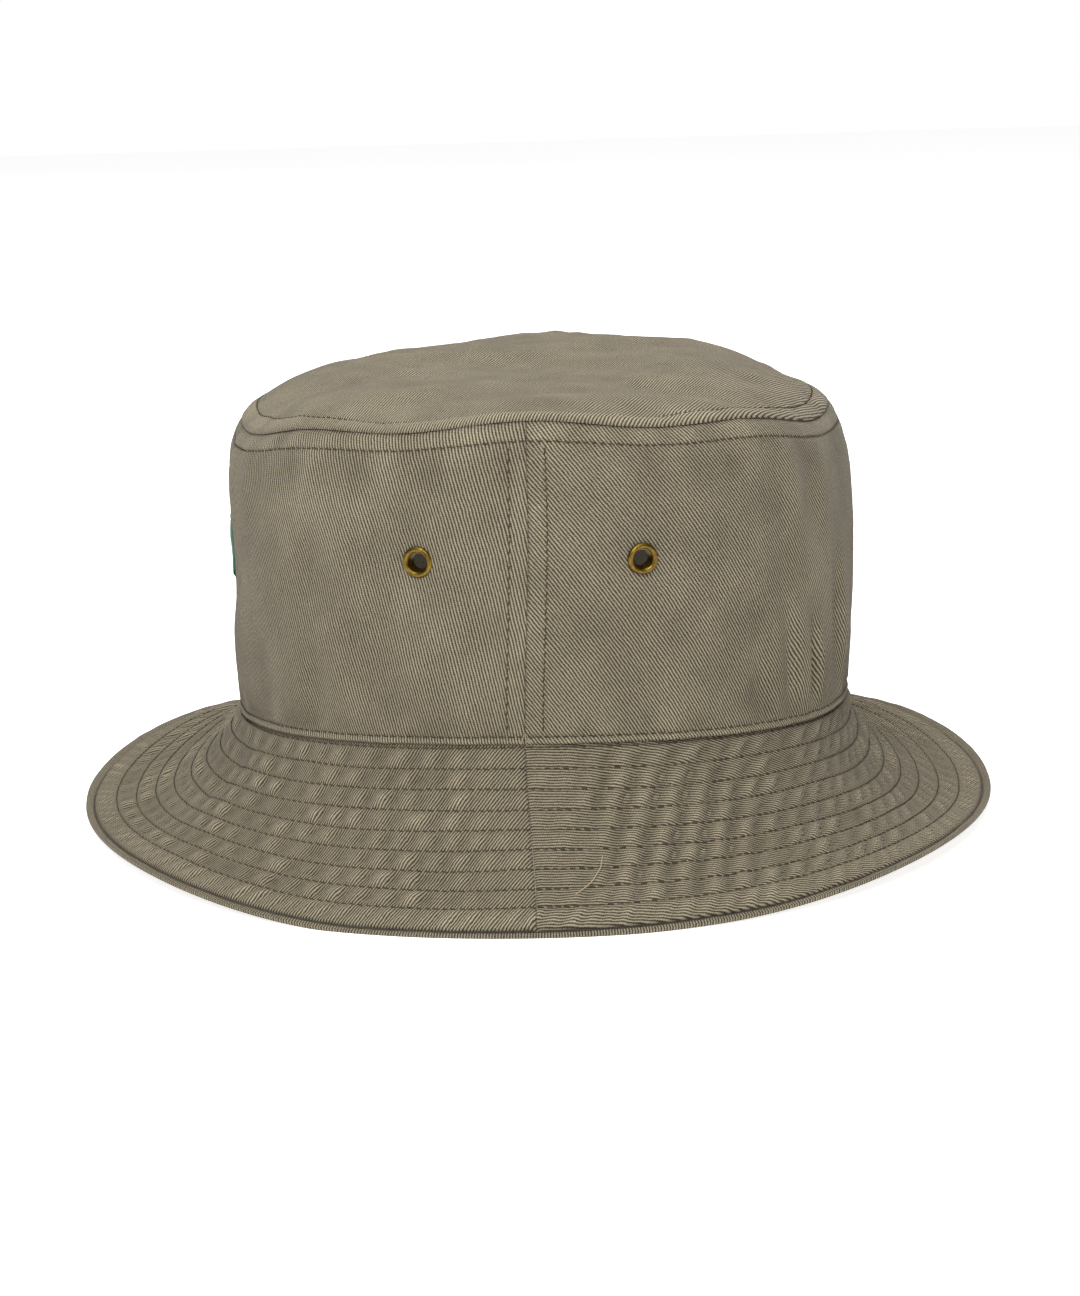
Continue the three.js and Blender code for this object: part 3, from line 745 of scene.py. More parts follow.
def weave_place(across, up, number, angle=WALE_ANGLE):
    """Cloth coordinates: across the wales, along them, and the number of the piece's cloth."""
    along_x, along_y = np.cos(angle), np.sin(angle)
    return np.stack(np.broadcast_arrays(across * along_y - up * along_x,
                                        across * along_x + up * along_y, number), -1)


def side_panel_pattern(phi, height, end):
    turn = (arc_of(phi) - arc_of(PANEL_CENTRE[end])) / SIDE_PANEL_RADIUS
    radius = SIDE_PANEL_RADIUS - height
    number = CLOTH_NUMBER[f"side_{end}"]
    return weave_place(radius * np.sin(turn), SIDE_PANEL_RADIUS - radius * np.cos(turn), number)


def brim_pattern(phi, run, end, cloth):
    turn = (arc_of(phi) - arc_of(PANEL_CENTRE[end])) / BRIM_PANEL_RADIUS
    radius = BRIM_PANEL_RADIUS + run
    across, up = radius * np.sin(turn), BRIM_PANEL_RADIUS - radius * np.cos(turn)
    return weave_place(across, up, CLOTH_NUMBER[cloth])


def folded_edge_pattern(phi, run, cloth, from_run):
    """Turns the wales square to the brim's edge outside a place, as where the cloth is folded back."""
    width = arc_of(phi) * (BRIM_PANEL_RADIUS + BRIM_WIDTH) / BRIM_PANEL_RADIUS
    folded = weave_place(width, run, CLOTH_NUMBER["folded"], np.pi / 2)
    return np.where((run > from_run)[..., None], folded, cloth)


def panel_angles(end, step, fine_step, reach):
    """Station angles of a half of the hat, closer together beside its two side seams."""
    start, stop = (-GIRTH / 2, 0.0) if end == "front" else (0.0, GIRTH / 2)
    ends = start + SEAM_HALF_GAP, stop - SEAM_HALF_GAP
    return spaced(*ends, (start, stop), step, fine_step, reach)


# -------- materials

def add_node(tree, kind, inputs=(), **settings):
    """A shader node. Each input is a pair of its socket and a value or another node's output."""
    made = tree.nodes.new(kind)
    for key, value in settings.items():
        setattr(made, key, value)
    for socket, value in inputs:
        if isinstance(value, bpy.types.NodeSocket):
            tree.links.new(value, made.inputs[socket])
        else:
            made.inputs[socket].default_value = value
    return made


def calculate(tree, operation, *values):
    return add_node(tree, "ShaderNodeMath", enumerate(values), operation=operation).outputs[0]


def varied(tree, place, size, detail, roughness, strength, base=0.0):
    """A base value, raised and lowered in random blotches of a size in millimetres."""
    inputs = [("Vector", place), ("Scale", 1 / size), ("Detail", detail), ("Roughness", roughness)]
    value = add_node(tree, "ShaderNodeTexNoise", inputs).outputs["Fac"]
    blotches = calculate(tree, "MULTIPLY_ADD", value, 4.0, -2.0)
    return calculate(tree, "MULTIPLY_ADD", blotches, strength, base)


def new_material(name, roughness, specular, sheen=0.0):
    material = bpy.data.materials.new(name)
    material.use_nodes = True
    shader = material.node_tree.nodes["Principled BSDF"]
    shader.inputs["Roughness"].default_value = roughness
    shader.inputs["Specular IOR Level"].default_value = specular
    shader.inputs["Sheen Weight"].default_value = sheen
    return material, material.node_tree, shader


def colour_of(red, green, blue):
    """Linear colour from display values of 0 to 255."""
    values = np.array([red, green, blue]) / 255
    return (*np.where(values < 0.04045, values / 12.92, ((values + 0.055) / 1.055) ** 2.4), 1.0)


def bump(tree, shader, height, distance):
    inputs = [("Height", height), ("Distance", distance * MM), ("Strength", 1.0)]
    tree.links.new(add_node(tree, "ShaderNodeBump", inputs).outputs["Normal"], shader.inputs["Normal"])


# Random variation of the cloth: size in millimetres, detail, roughness and strength
RIB_WANDER = (7.0, 2.0, 0.5, 0.16)
RIB_JITTER = (1.1, 1.0, 0.5, 0.07)
FLECKS = (0.8, 2.0, 0.6, 0.13)
FADED_BLOTCHES = (26.0, 4.0, 0.55, 0.09)
MOTTLE = (3.2, 2.0, 0.5, 0.05)
BRASS_PATCHES = (1.4, 3.0, 0.5, 0.5)
# The yarn's twist: its length as a share of the wale, and its share of the relief
YARN_LENGTH = 0.85
YARN_SHARE = 0.2
RIB_CONTRAST = 0.42
# How much paler cloth and thread are for each unit of their paleness value: on thread it is wear, on cloth
# partly wear and partly painted shade
CLOTH_PAINTED_SHADE_AND_WEAR = 0.42
THREAD_WEAR = 0.22
WALE = 0.88


def attribute_of(tree, name, kind):
    return add_node(tree, "ShaderNodeAttribute", attribute_name=name).outputs[kind]


def toned(tree, shader, colour, value):
    """Sets the shader's colour, made paler or darker by a value."""
    node = add_node(tree, "ShaderNodeHueSaturation", [("Value", value), ("Color", colour)])
    tree.links.new(node.outputs[0], shader.inputs["Base Color"])


def woven_material(name, dark, light, wale=WALE, relief=0.16):
    """Twill: light slanting ribs with dark lines between, faded in blotches, and paler on raised places and
    darker in hollows, which is partly faded wear and partly painted shade.
    """
    material, tree, shader = new_material(name, roughness=0.93, specular=0.12, sheen=0.06)
    place = attribute_of(tree, "cloth", "Vector")
    axes = add_node(tree, "ShaderNodeSeparateXYZ", [("Vector", place)])
    jitter = varied(tree, place, *RIB_JITTER, base=varied(tree, place, *RIB_WANDER))
    across = calculate(tree, "ADD", axes.outputs["X"], jitter)
    turns = calculate(tree, "MULTIPLY", across, 2 * np.pi / wale)
    rib = calculate(tree, "SINE", turns)
    slant = calculate(tree, "MULTIPLY", axes.outputs["Y"], 2 * np.pi / (YARN_LENGTH * wale))
    yarn = calculate(tree, "SINE", calculate(tree, "MULTIPLY_ADD", turns, 0.5, slant))
    body = calculate(tree, "MULTIPLY_ADD", yarn, YARN_SHARE, rib)
    height = varied(tree, place, *FLECKS, base=calculate(tree, "MULTIPLY_ADD", body, RIB_CONTRAST, 0.5))
    share = add_node(tree, "ShaderNodeMapRange", [("Value", height)], interpolation_type="SMOOTHSTEP")
    ribbed = add_node(tree, "ShaderNodeMix", [(0, share.outputs[0]), (6, dark), (7, light)], data_type="RGBA")
    faded = varied(tree, place, *MOTTLE, base=varied(tree, place, *FADED_BLOTCHES, base=1.0))
    # Painted shade: the paleness value lightens the cloth's raised places and darkens its grooves, partly as
    # faded wear and partly as painted light and shade.
    value = calculate(tree, "MULTIPLY_ADD", attribute_of(tree, "wear_and_painted_shade", "Fac"), CLOTH_PAINTED_SHADE_AND_WEAR, faded)
    toned(tree, shader, ribbed.outputs[2], value)
    bump(tree, shader, height, relief)
    return material


def thread_material(name, colour, roughness=0.75):
    material, tree, shader = new_material(name, roughness, specular=0.2)
    value = calculate(tree, "MULTIPLY_ADD", attribute_of(tree, "wear_and_painted_shade", "Fac"), THREAD_WEAR, 1.0)
    toned(tree, shader, colour, value)
    return material


def brass_material():
    """Antique brass: metal with darker, rougher patches."""
    material, tree, shader = new_material("antique_brass", roughness=0.42, specular=0.5)
    shader.inputs["Metallic"].default_value = 1.0
    patches = varied(tree, attribute_of(tree, "cloth", "Vector"), *BRASS_PATCHES, base=0.5)
    colours = [(0, patches), (6, colour_of(78, 62, 24)), (7, colour_of(138, 112, 50))]
    tint = add_node(tree, "ShaderNodeMix", colours, data_type="RGBA")
    tree.links.new(tint.outputs[2], shader.inputs["Base Color"])
    bump(tree, shader, patches, distance=0.03)
    return material


MATERIALS = {
    "twill": woven_material("washed_twill", colour_of(51, 45, 33), colour_of(144, 135, 115)),
    "lining": woven_material("lining_twill", colour_of(80, 74, 61), colour_of(134, 128, 112),
                             wale=0.6, relief=0.1),
    "stiffener": woven_material("stiffener_cloth", colour_of(150, 147, 139), colour_of(180, 177, 168),
                                wale=0.7, relief=0.08),
    "label": woven_material("label_cloth", colour_of(176, 172, 163), colour_of(200, 197, 190),
                            wale=0.35, relief=0.04),
    "thread": thread_material("seam_thread", colour_of(66, 58, 45)),
    "embroidery": thread_material("leaf_thread", colour_of(16, 92, 52), roughness=0.5),
    "brass": brass_material(),
}


def use(piece, slot, *nodes, body="hat"):
    """A finished piece takes the place of its CAD nodes and rides on their body."""
    piece.data.materials.append(MATERIALS[slot])
    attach(piece, body)
    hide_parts(*nodes)
    return piece


# -------- threads

RING_STITCH_SEED = SEED + 20
SIDE_STITCH_SEED = SEED + 40
LEAF_SEED = SEED + 60
# Sides of a thread
RING = 6
# A stitch from end to end: place along it, height out of the cloth and share of the thread's radius
STITCH_PROFILE = [(-1.0, -0.15, 0.5), (-0.62, 0.12, 1.0), (0.0, 0.2, 1.05), (0.62, 0.12, 1.0),
                  (1.0, -0.15, 0.5)]
# Half a stitch's length as a share of the pitch, and how far it slants across the row in millimetres
STITCH_HALF_LENGTH = 0.41
STITCH_SLANT = 0.16
# How far each stitch is off its place: along the row as a share of its pitch, across it, and in height
STITCH_OFF_ALONG = (-0.04, 0.04)
STITCH_OFF_ACROSS = (-0.07, 0.07)
STITCH_OFF_HEIGHT = (-0.03, 0.05)
# Loose threads: how pale, which way is out of the cloth, and how finely and softly they bend
STRAY_PALENESS = 28.0
STRAY_UPWARDS = (1.0, 0.0, 0.4)
STRAY_STEPS = 8
STRAY_SOFTENINGS = 6


def normalised(vectors):
    return vectors / np.maximum(np.linalg.norm(vectors, axis=-1, keepdims=True), 1e-9)


def tubes(centres, upwards, radius):
    """Round threads along rows of centre points: their points, and quads for one thread."""
    tangent = normalised(np.gradient(centres, axis=1))
    side = normalised(np.cross(tangent, upwards))
    top = np.cross(side, tangent)
    turn = np.arange(RING) * 2 * np.pi / RING
    ring = np.cos(turn)[:, None] * side[:, :, None] + np.sin(turn)[:, None] * top[:, :, None]
    points = centres[:, :, None] + radius[..., None, None] * ring
    along = centres.shape[1]
    start = np.arange(RING)
    following = (start + 1) % RING
    walls = [np.stack([start, following, following + RING, start + RING], -1) + RING * step
             for step in range(along - 1)]
    last = RING * (along - 1)
    caps = np.array([[3, 2, 1, 0], [5, 4, 3, 0], [last, last + 1, last + 2, last + 3],
                     [last, last + 3, last + 4, last + 5]])
    return points.reshape(len(centres), -1, 3), np.concatenate([*walls, caps])[:, ::-1]


def thread_piece(name, groups, seed):
    """One piece of many threads. Each group has its centre points, upward directions, radii and paleness."""
    random = np.random.default_rng(seed)
    points, faces, wear_and_painted_shade, count = [], [], [], 0
    for centres, upwards, radius, paleness in groups:
        each, quads = tubes(centres, upwards, np.broadcast_to(radius, centres.shape[:2]))
        size = each.shape[1]
        starts = count + size * np.arange(len(each))
        faces.append((quads[None] + starts[:, None, None]).reshape(-1, 4))
        points.append(each.reshape(-1, 3))
        wear_and_painted_shade.append(np.repeat(paleness + random.uniform(-1, 1, len(each)), size))
        count += each.shape[0] * size
    attributes = {"wear_and_painted_shade": np.concatenate(wear_and_painted_shade)}
    return mesh_piece(name, np.concatenate(points), np.concatenate(faces), None, attributes)


def stitch_group(path, count, seed):
    """Separate short stitches along a path. The path gives face points for shares of its length."""
    random = np.random.default_rng(seed)
    offsets, lifts, widths = (np.array(column) for column in zip(*STITCH_PROFILE))
    middle = (np.arange(count) + 0.5 + random.uniform(*STITCH_OFF_ALONG, count)) / count
    shares = middle[:, None] + offsets * STITCH_HALF_LENGTH / count
    face = path(shares, 0.0)
    upwards = normalised(path(shares, 1.0) - face)
    sideways = normalised(np.cross(np.gradient(face, axis=1), upwards))
    drift = offsets * STITCH_SLANT + random.uniform(*STITCH_OFF_ACROSS, (count, 1))
    height = lifts + random.uniform(*STITCH_OFF_HEIGHT, (count, 1))
    centres = face + height[..., None] * upwards + drift[..., None] * sideways
    return centres, upwards, THREAD_RADIUS * widths, 0.0


def stray_thread(face, places, lifts, radius):
    """One loose thread through places on a face."""
    spots = np.array([face(np.array(phi), np.array(across), lift)
                      for (phi, across), lift in zip(places, lifts)])
    steps = np.linspace(0, len(spots) - 1, STRAY_STEPS * len(spots))
    soft = np.stack([np.interp(steps, np.arange(len(spots)), spots[:, axis]) for axis in range(3)], -1)
    for _ in range(STRAY_SOFTENINGS):
        soft[1:-1] = (soft[:-2] + 2 * soft[1:-1] + soft[2:]) / 4
    upwards = np.broadcast_to(STRAY_UPWARDS, soft[None].shape)
    return soft[None], upwards, np.full(len(soft), radius), STRAY_PALENESS


def ring_path(face, place):
    """Goes once round the hat on a face, at a place across it that may depend on the angle."""
    def path(shares, lift):
        phi = 2 * np.pi * shares
        return face(phi, place(phi), lift)
    return path


def ring_count(extra=0.0):
    return int(round((GIRTH + 2 * np.pi * extra) / STITCH_PITCH))


ROW_WOBBLE = 0.22
ROW_WOBBLE_BUMPS = 34
# How much wider a stitch row's ring is than the base seam, for each millimetre away from it
ROW_FLARE = 0.75
# The loose thread beside the left seam: angles in degrees and distances from the base seam, and its lifts
LOOSE_THREAD = [(9.6, 36.3), (8.9, 41.0), (7.4, 45.5), (4.9, 49.6)]
LOOSE_THREAD_LIFTS = (0.3, 1.1, 0.9, 0.1)
LOOSE_THREAD_RADIUS = 0.15


def brim_row_run(row):
    return FIRST_ROW_FROM_SEAM + row * ROW_SPACING


def wobbling_row(row):
    """The distance of a stitch row from the base seam, which wobbles a little round the brim."""
    def place(phi):
        return brim_row_run(row) + ROW_WOBBLE * (-1) ** row * ring_noise(phi, ROW_WOBBLE_BUMPS, 0, row)
    return place


def add_brim_rows():
    for row in range(BRIM_ROWS):
        count = ring_count(ROW_FLARE * brim_row_run(row))
        groups = [stitch_group(ring_path(face, wobbling_row(row)), count, SEED + row)
                  for face in (brim_face, brim_underside)]
        if row == BRIM_ROWS - 1:
            places = [(np.radians(angle), run) for angle, run in LOOSE_THREAD]
            groups.append(stray_thread(brim_face, places, LOOSE_THREAD_LIFTS, LOOSE_THREAD_RADIUS))
        name = f"brim_stitch_row_{row + 1}"
        use(thread_piece(f"{name}_thread", groups, SEED + row), "thread", name)


def sweatband_face(phi, height, lift=0.0):
    return smooth_wall(phi, height, SWEATBAND_DEPTH + TWILL + lift)


def add_crown_rings():
    count = ring_count()
    lines = {
        "crown_base_topstitch": ring_path(wall_face, lambda phi: BASE_TOPSTITCH + 0 * phi),
        "tip_edge_topstitch": ring_path(wall_face, lambda phi: wall_height(phi) - TIP_TOPSTITCH),
        "tip_topstitch": ring_path(tip_face, lambda phi: 1 - TIP_TOPSTITCH / OVAL_HALF_WIDTH + 0 * phi),
        "sweatband_topstitch": ring_path(sweatband_face, lambda phi: BASE_TOPSTITCH + 0 * phi),
    }
    for seed, (name, path) in enumerate(lines.items()):
        groups = [stitch_group(path, count, RING_STITCH_SEED + seed)]
        if name == "crown_base_topstitch":
            groups += side_seam_frays()
        use(thread_piece(f"{name}_thread", groups, SEED + seed), "thread", name)


# Frayed ends: each one's turn from the seam in radians, and its shares of that turn, heights and lifts
FRAY_TURNS = (-0.006, 0.002, 0.009)
FRAY_SHAPE = [(0.5, 3.4, 0.1), (1, 2.2, 0.7), (2, 0.6, 1.1)]
FRAY_RADIUS = 0.11
SIDE_STITCH_CLEARANCE = 1.3


def side_seam_frays():
    """Short frayed ends where each side seam runs into the seam between crown and brim."""
    frays = []
    for seam in (LEFT, RIGHT):
        for turn in FRAY_TURNS:
            places = [(seam + share * turn, height) for share, height, lift in FRAY_SHAPE]
            lifts = [lift for share, height, lift in FRAY_SHAPE]
            frays.append(stray_thread(wall_face, places, lifts, FRAY_RADIUS))
    return frays


def side_stitch_path(seam, sign):
    """Goes up the crown wall beside a side seam, between the topstitch rows."""
    bottom = BASE_TOPSTITCH + SIDE_STITCH_CLEARANCE

    def path(shares, lift):
        phi = angle_of(arc_of(np.array(seam)) + sign * SIDE_TOPSTITCH) + 0 * shares
        top = wall_height(phi) - TIP_TOPSTITCH - SIDE_STITCH_CLEARANCE
        return wall_face(phi, lerp(bottom, top, shares), lift)
    return path


def add_side_seam_stitches():
    length = NOMINAL_WALL - BASE_TOPSTITCH - TIP_TOPSTITCH - 2 * SIDE_STITCH_CLEARANCE
    count = int(round(length / STITCH_PITCH))
    for side, seam, backwards in (("left", LEFT, 1), ("right", RIGHT, -1)):
        for end, sign in (("front", -backwards), ("back", backwards)):
            name = f"{side}_seam_topstitch_{end}"
            group = stitch_group(side_stitch_path(seam, sign), count, SIDE_STITCH_SEED)
            use(thread_piece(f"{name}_thread", [group], SEED), "thread", name)


# -------- cloth pieces

# Spacing of the mesh: step, fine step, and reach of the fine steps from a seam
WALL_MESH_ROUND = (1.08, 0.5, 8.0)
WALL_MESH_UP = (1.2, 0.42, 7.0)
TIP_MESH = (1.25, 0.5, 8.0)
FINE_REACH_ON_BRIM = 4.0
# Brim meshes: step round the hat, where they begin, where they end, and step outwards
UPPER_MESH = (0.87, -1.0, UPPER_EDGE, 0.52)
UNDER_MESH = (1.15, 0.5, LOWER_EDGE, 0.75)
INTERLINING_MESH = (3.0, 4.0, BRIM_WIDTH - LAST_ROW_FROM_EDGE, 3.0)
WALL_TUCK = -0.9


def eyelet_arc(end, side):
    turn = np.arcsin(EYELET_FROM_SIDE_SEAM / OVAL_HALF_LENGTH) * (1 if end == "back" else -1)
    return float(arc_of(turn) if side == "left" else np.sign(turn) * GIRTH / 2 - arc_of(turn))


def round_holes(arc, height, centres):
    """Shifts a grid so that the square of cells at each centre becomes a round hole."""
    keep = np.ones((arc.shape[0] - 1, arc.shape[1] - 1), bool)
    for centre in centres:
        across, up = arc - centre, height - EYELET_ABOVE_BASE_SEAM
        square = np.maximum(np.abs(across), np.abs(up))
        straight = np.maximum(np.hypot(across, up), 1e-6)
        share = smoothstep(square, HOLE_BLEND, CLOTH_HOLE) * (square / straight - 1)
        cell_across = (across[1:, 1:] + across[:-1, :-1]) / 2
        cell_up = (up[1:, 1:] + up[:-1, :-1]) / 2
        keep &= (np.abs(cell_across) > CLOTH_HOLE) | (np.abs(cell_up) > CLOTH_HOLE)
        arc, height = arc + across * share, height + up * share
    return arc, height, keep


def add_side_panel(end):
    centres = [eyelet_arc(end, side) for side in ("left", "right")]
    places = panel_angles(end, *WALL_MESH_ROUND)
    places = with_exact(places, [centre + sign * CLOTH_HOLE for centre in centres for sign in (-1, 1)])
    rows = spaced(WALL_TUCK, NOMINAL_WALL, (0.0, NOMINAL_WALL), *WALL_MESH_UP)
    rows = with_exact(rows, [EYELET_ABOVE_BASE_SEAM - CLOTH_HOLE, EYELET_ABOVE_BASE_SEAM + CLOTH_HOLE])
    arc, row = np.meshgrid(places, rows, indexing="ij")
    arc, row, keep = round_holes(arc, row, centres)
    phi = angle_of(arc)
    height = row / NOMINAL_WALL * wall_height(phi)
    detail = wall_detail(phi, height)
    cloth = side_panel_pattern(phi, height, end)
    # Painted shade: the wall's face is painted paler on its ridges and puffs and darker in its grooves and in
    # the tuck under the base ridge, partly as faded wear and partly as painted light and shade.
    wear_and_painted_shade = (np.clip(detail, -1, 1), np.zeros_like(detail))
    piece = shell(f"side_panel_{end}_cloth", wall_face(phi, height), smooth_wall(phi, height, TWILL),
                  keep, cloth=cloth, wear_and_painted_shade=wear_and_painted_shade)
    use(piece, "twill", f"side_panel_{end}")


# How much paler the crown tip is painted, as painted light from above
TIP_PAINTED_LIGHT = 0.44


def add_crown_tip():
    """The tip's mesh is a square grid whose rings of cells are drawn out to the oval."""
    levels = spaced(0.0, OVAL_HALF_WIDTH, (OVAL_HALF_WIDTH,), *TIP_MESH) / OVAL_HALF_WIDTH
    line = np.concatenate([-levels[:0:-1], levels])
    x, y = np.meshgrid(line, line, indexing="ij")
    reach = np.maximum(np.abs(x), np.abs(y))
    safe = np.where(reach == 0, 1, reach)
    sideways = np.abs(x) >= np.abs(y)
    phi = np.where(sideways, np.where(x < 0, np.pi, 0) + np.pi / 4 * y * np.sign(x) / safe,
                   np.pi / 2 * np.sign(y) - np.pi / 4 * x * np.sign(y) / safe)
    flat = tip_point(phi, reach, 0)
    detail = tip_detail(phi, flat[..., 0], flat[..., 1], reach)
    inner = tip_point(phi, reach, TWILL - tip_waves(flat[..., 0], flat[..., 1], reach))
    cloth = weave_place(flat[..., 0], flat[..., 1], CLOTH_NUMBER["tip"], TIP_WALE_ANGLE)
    # The tip is painted paler all over as painted light from above, and paler on its raised places and darker
    # in its grooves, partly as wear and partly as painted shade.
    piece = shell("crown_tip_cloth", tip_face(phi, reach), inner, cloth=cloth,
                  wear_and_painted_shade=(np.clip(TIP_PAINTED_LIGHT + detail, -1, 1), np.zeros_like(detail)))
    use(piece, "twill", "crown_tip")


def brim_grid(end, step, start, stop, row_step):
    places = panel_angles(end, step, step / 2, FINE_REACH_ON_BRIM)
    runs = np.linspace(start, stop, int(round((stop - start) / row_step)) + 1)
    arc, run = np.meshgrid(places, runs, indexing="ij")
    return angle_of(arc), run


# How much paler the brim's puffs and its edge's puffs are painted and how much darker its row grooves, which
# is partly faded wear and partly painted shade; how much darker the whole upper face is; and the painted
# shade in the groove at its cut edge
PUFF_PAINTED_SHADE_AND_WEAR = 0.85
EDGE_PUFF_PAINTED_SHADE_AND_WEAR = 0.9
BRIM_DARKENING = 0.05
EDGE_GROOVE_PAINTED_SHADE = (1.6, UPPER_EDGE - 0.9, UPPER_EDGE - 0.2)
UPPER_FOLD = UPPER_EDGE - 0.1
UNDER_FOLD = UPPER_EDGE - 0.6


def add_upper_panel(end):
    phi, run = brim_grid(end, *UPPER_MESH)
    # Painted shade: the upper face is painted paler on its puffs and darker in its row grooves, partly as
    # faded wear and partly as painted light and shade.
    shade = PUFF_PAINTED_SHADE_AND_WEAR * sum(brim_quilt(phi, run)) - BRIM_DARKENING + EDGE_PUFF_PAINTED_SHADE_AND_WEAR * edge_puff(phi, run)
    # Painted shade: a dark line in the groove just inside the brim's upper edge.
    shade -= ramp(run, *EDGE_GROOVE_PAINTED_SHADE)
    cloth = folded_edge_pattern(phi, run, brim_pattern(phi, run, end, "brim_upper"), UPPER_FOLD)
    inner = brim_point(phi, run, TWILL + edge_turn(run))
    piece = shell(f"brim_upper_{end}_cloth", brim_face(phi, run), inner,
                  cloth=cloth, wear_and_painted_shade=(np.clip(shade, -1, 1), 0 * run))
    use(piece, "twill", f"brim_upper_{end}")


def add_under_panel(end):
    phi, run = brim_grid(end, *UNDER_MESH)
    top = brim_point(phi, run, BRIM_THICKNESS - TWILL - lip_rise(phi, run))
    # Painted shade: the underside is painted paler on its puffs and darker in its row grooves, partly as
    # faded wear and partly as painted light and shade.
    shade = sum(brim_quilt(phi, run, UNDERSIDE_SHIFT))
    cloth = folded_edge_pattern(phi, run, brim_pattern(phi, run, end, "brim_under"), UNDER_FOLD)
    piece = shell(f"brim_under_{end}_cloth", top, brim_underside(phi, run),
                  cloth=cloth, wear_and_painted_shade=(0 * run, np.clip(shade, -1, 1)))
    use(piece, "twill", f"brim_under_{end}")


def add_interlining(end):
    phi, run = brim_grid(end, *INTERLINING_MESH)
    depth = TWILL + LAYER_GAP
    piece = shell(f"brim_interlining_{end}_cloth", brim_point(phi, run, depth),
                  brim_point(phi, run, depth + INTERLINING),
                  cloth=brim_pattern(phi, run, end, "interlining"), wear_and_painted_shade=(0 * run, 0 * run))
    use(piece, "stiffener", f"brim_interlining_{end}")


# Softness of the cloth inside the crown, as ring_waves takes it, and how much of it shapes the cloth
INSIDE_WAVES = [(0.15, 67, 8, 0, 1), (0.12, 173, 5, 0, 2)]
INSIDE_RELIEF = 0.4
# Bottom and top of the strips, and half the width of the upright ones
SWEATBAND_BOTTOM = 1
TIP_TAPE_SPAN = (NOMINAL_WALL - 13.5, NOMINAL_WALL - 3.4)
SIDE_TAPE_SPAN = (SWEATBAND_HEIGHT + 1, TIP_TAPE_SPAN[0] - 1)
SIDE_TAPE_HALF_WIDTH = 6
SIZE_LABEL_SPAN = (8, 26)
SIZE_LABEL_HALF_WIDTH = 24


def wall_strip(node, arcs, heights, depth, thickness, slot, closed=False):
    """A strip of cloth inside the crown wall, at a depth below its face."""
    arc, height = np.meshgrid(arcs, heights, indexing="ij")
    phi = angle_of(arc)
    soft = ring_waves(phi, height, INSIDE_WAVES)
    inner = smooth_wall(phi, height, depth + thickness + INSIDE_RELIEF * soft)
    # The inner face is painted paler where the soft waves rise and darker where they sink, partly as wear and
    # partly as painted shade.
    piece = shell(f"{node}_cloth", smooth_wall(phi, height, depth), inner, closed=closed,
                  cloth=weave_place(arc, height, CLOTH_NUMBER["inside"]), wear_and_painted_shade=(0 * soft, soft))
    use(piece, slot, node)


def add_crown_inside():
    around = np.linspace(0, GIRTH, 420)[:-1]
    band = np.linspace(SWEATBAND_BOTTOM, SWEATBAND_HEIGHT, 26)
    wall_strip("sweatband", around, band, SWEATBAND_DEPTH, TWILL, "lining", closed=True)
    tape = np.linspace(*TIP_TAPE_SPAN, 9)
    wall_strip("tip_seam_tape", around, tape, TAPE_DEPTH, TAPE, "lining", closed=True)
    for side, seam in (("left", 0.0), ("right", GIRTH / 2)):
        across = seam + np.linspace(-SIDE_TAPE_HALF_WIDTH, SIDE_TAPE_HALF_WIDTH, 9)
        up = np.linspace(*SIDE_TAPE_SPAN, 50)
        wall_strip(f"side_seam_tape_{side}", across, up, TAPE_DEPTH, TAPE, "lining")
    across = GIRTH / 4 + np.linspace(-SIZE_LABEL_HALF_WIDTH, SIZE_LABEL_HALF_WIDTH, 40)
    depth = SWEATBAND_DEPTH + TWILL + LAYER_GAP
    wall_strip("size_label", across, np.linspace(*SIZE_LABEL_SPAN, 16), depth, LABEL, "label")


LABEL_CURL = 0.5
LABEL_LEAN = 0.5
LABEL_CLEARANCE = 0.1


def add_care_label():
    """A label sewn on by its upper edge, with a slight curl towards its lower end."""
    low, high = (np.array(corner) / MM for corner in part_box("care_label"))
    y, z = np.meshgrid(np.linspace(low[1], high[1], 24), np.linspace(low[2], high[2], 30), indexing="ij")
    hang = (high[2] - z) / (high[2] - low[2])
    shift = LABEL_CURL * hang ** 2 * np.cos(np.pi * (y - low[1]) / (high[1] - low[1])) - LABEL_LEAN * hang
    outer = np.stack([high[0] - LABEL_CLEARANCE + shift, y, z], -1)
    inner = np.stack([low[0] + LABEL_CLEARANCE + shift, y, z], -1)
    cloth = weave_place(y, z, CLOTH_NUMBER["care_label"])
    piece = shell("care_label_cloth", outer, inner, cloth=cloth, wear_and_painted_shade=(0 * y, 0 * y))
    use(piece, "label", "care_label", body="care_label")


# -------- eyelets and the leaf

def turned_piece(name, profile, phi, height):
    """A piece turned round an axis square to the crown wall. The profile is radius and height out of it."""
    foot = smooth_wall(np.array(phi), np.array(height), 0.0)
    axis = normalised(smooth_wall(np.array(phi), np.array(height), -1.0) - foot)
    side = normalised(np.cross(axis, [0.0, 0.0, 1.0]))
    top = np.cross(side, axis)
    turn = np.linspace(0, 2 * np.pi, EYELET_SIDES + 1)[:-1]
    radius, out = np.array(profile).T
    around = np.cos(turn)[:, None, None] * side + np.sin(turn)[:, None, None] * top
    points = foot + radius[None, :, None] * around + out[None, :, None] * axis
    rows = len(profile)
    column, row = np.meshgrid(np.arange(len(turn)), np.arange(rows), indexing="ij")
    after, above = (column + 1) % len(turn), (row + 1) % rows
    corners = [column * rows + row, after * rows + row, after * rows + above, column * rows + above]
    faces = np.stack(corners, -1)
    points = points.reshape(-1, 3)
    return mesh_piece(name, points, faces.reshape(-1, 4), None, {"cloth": points - foot})


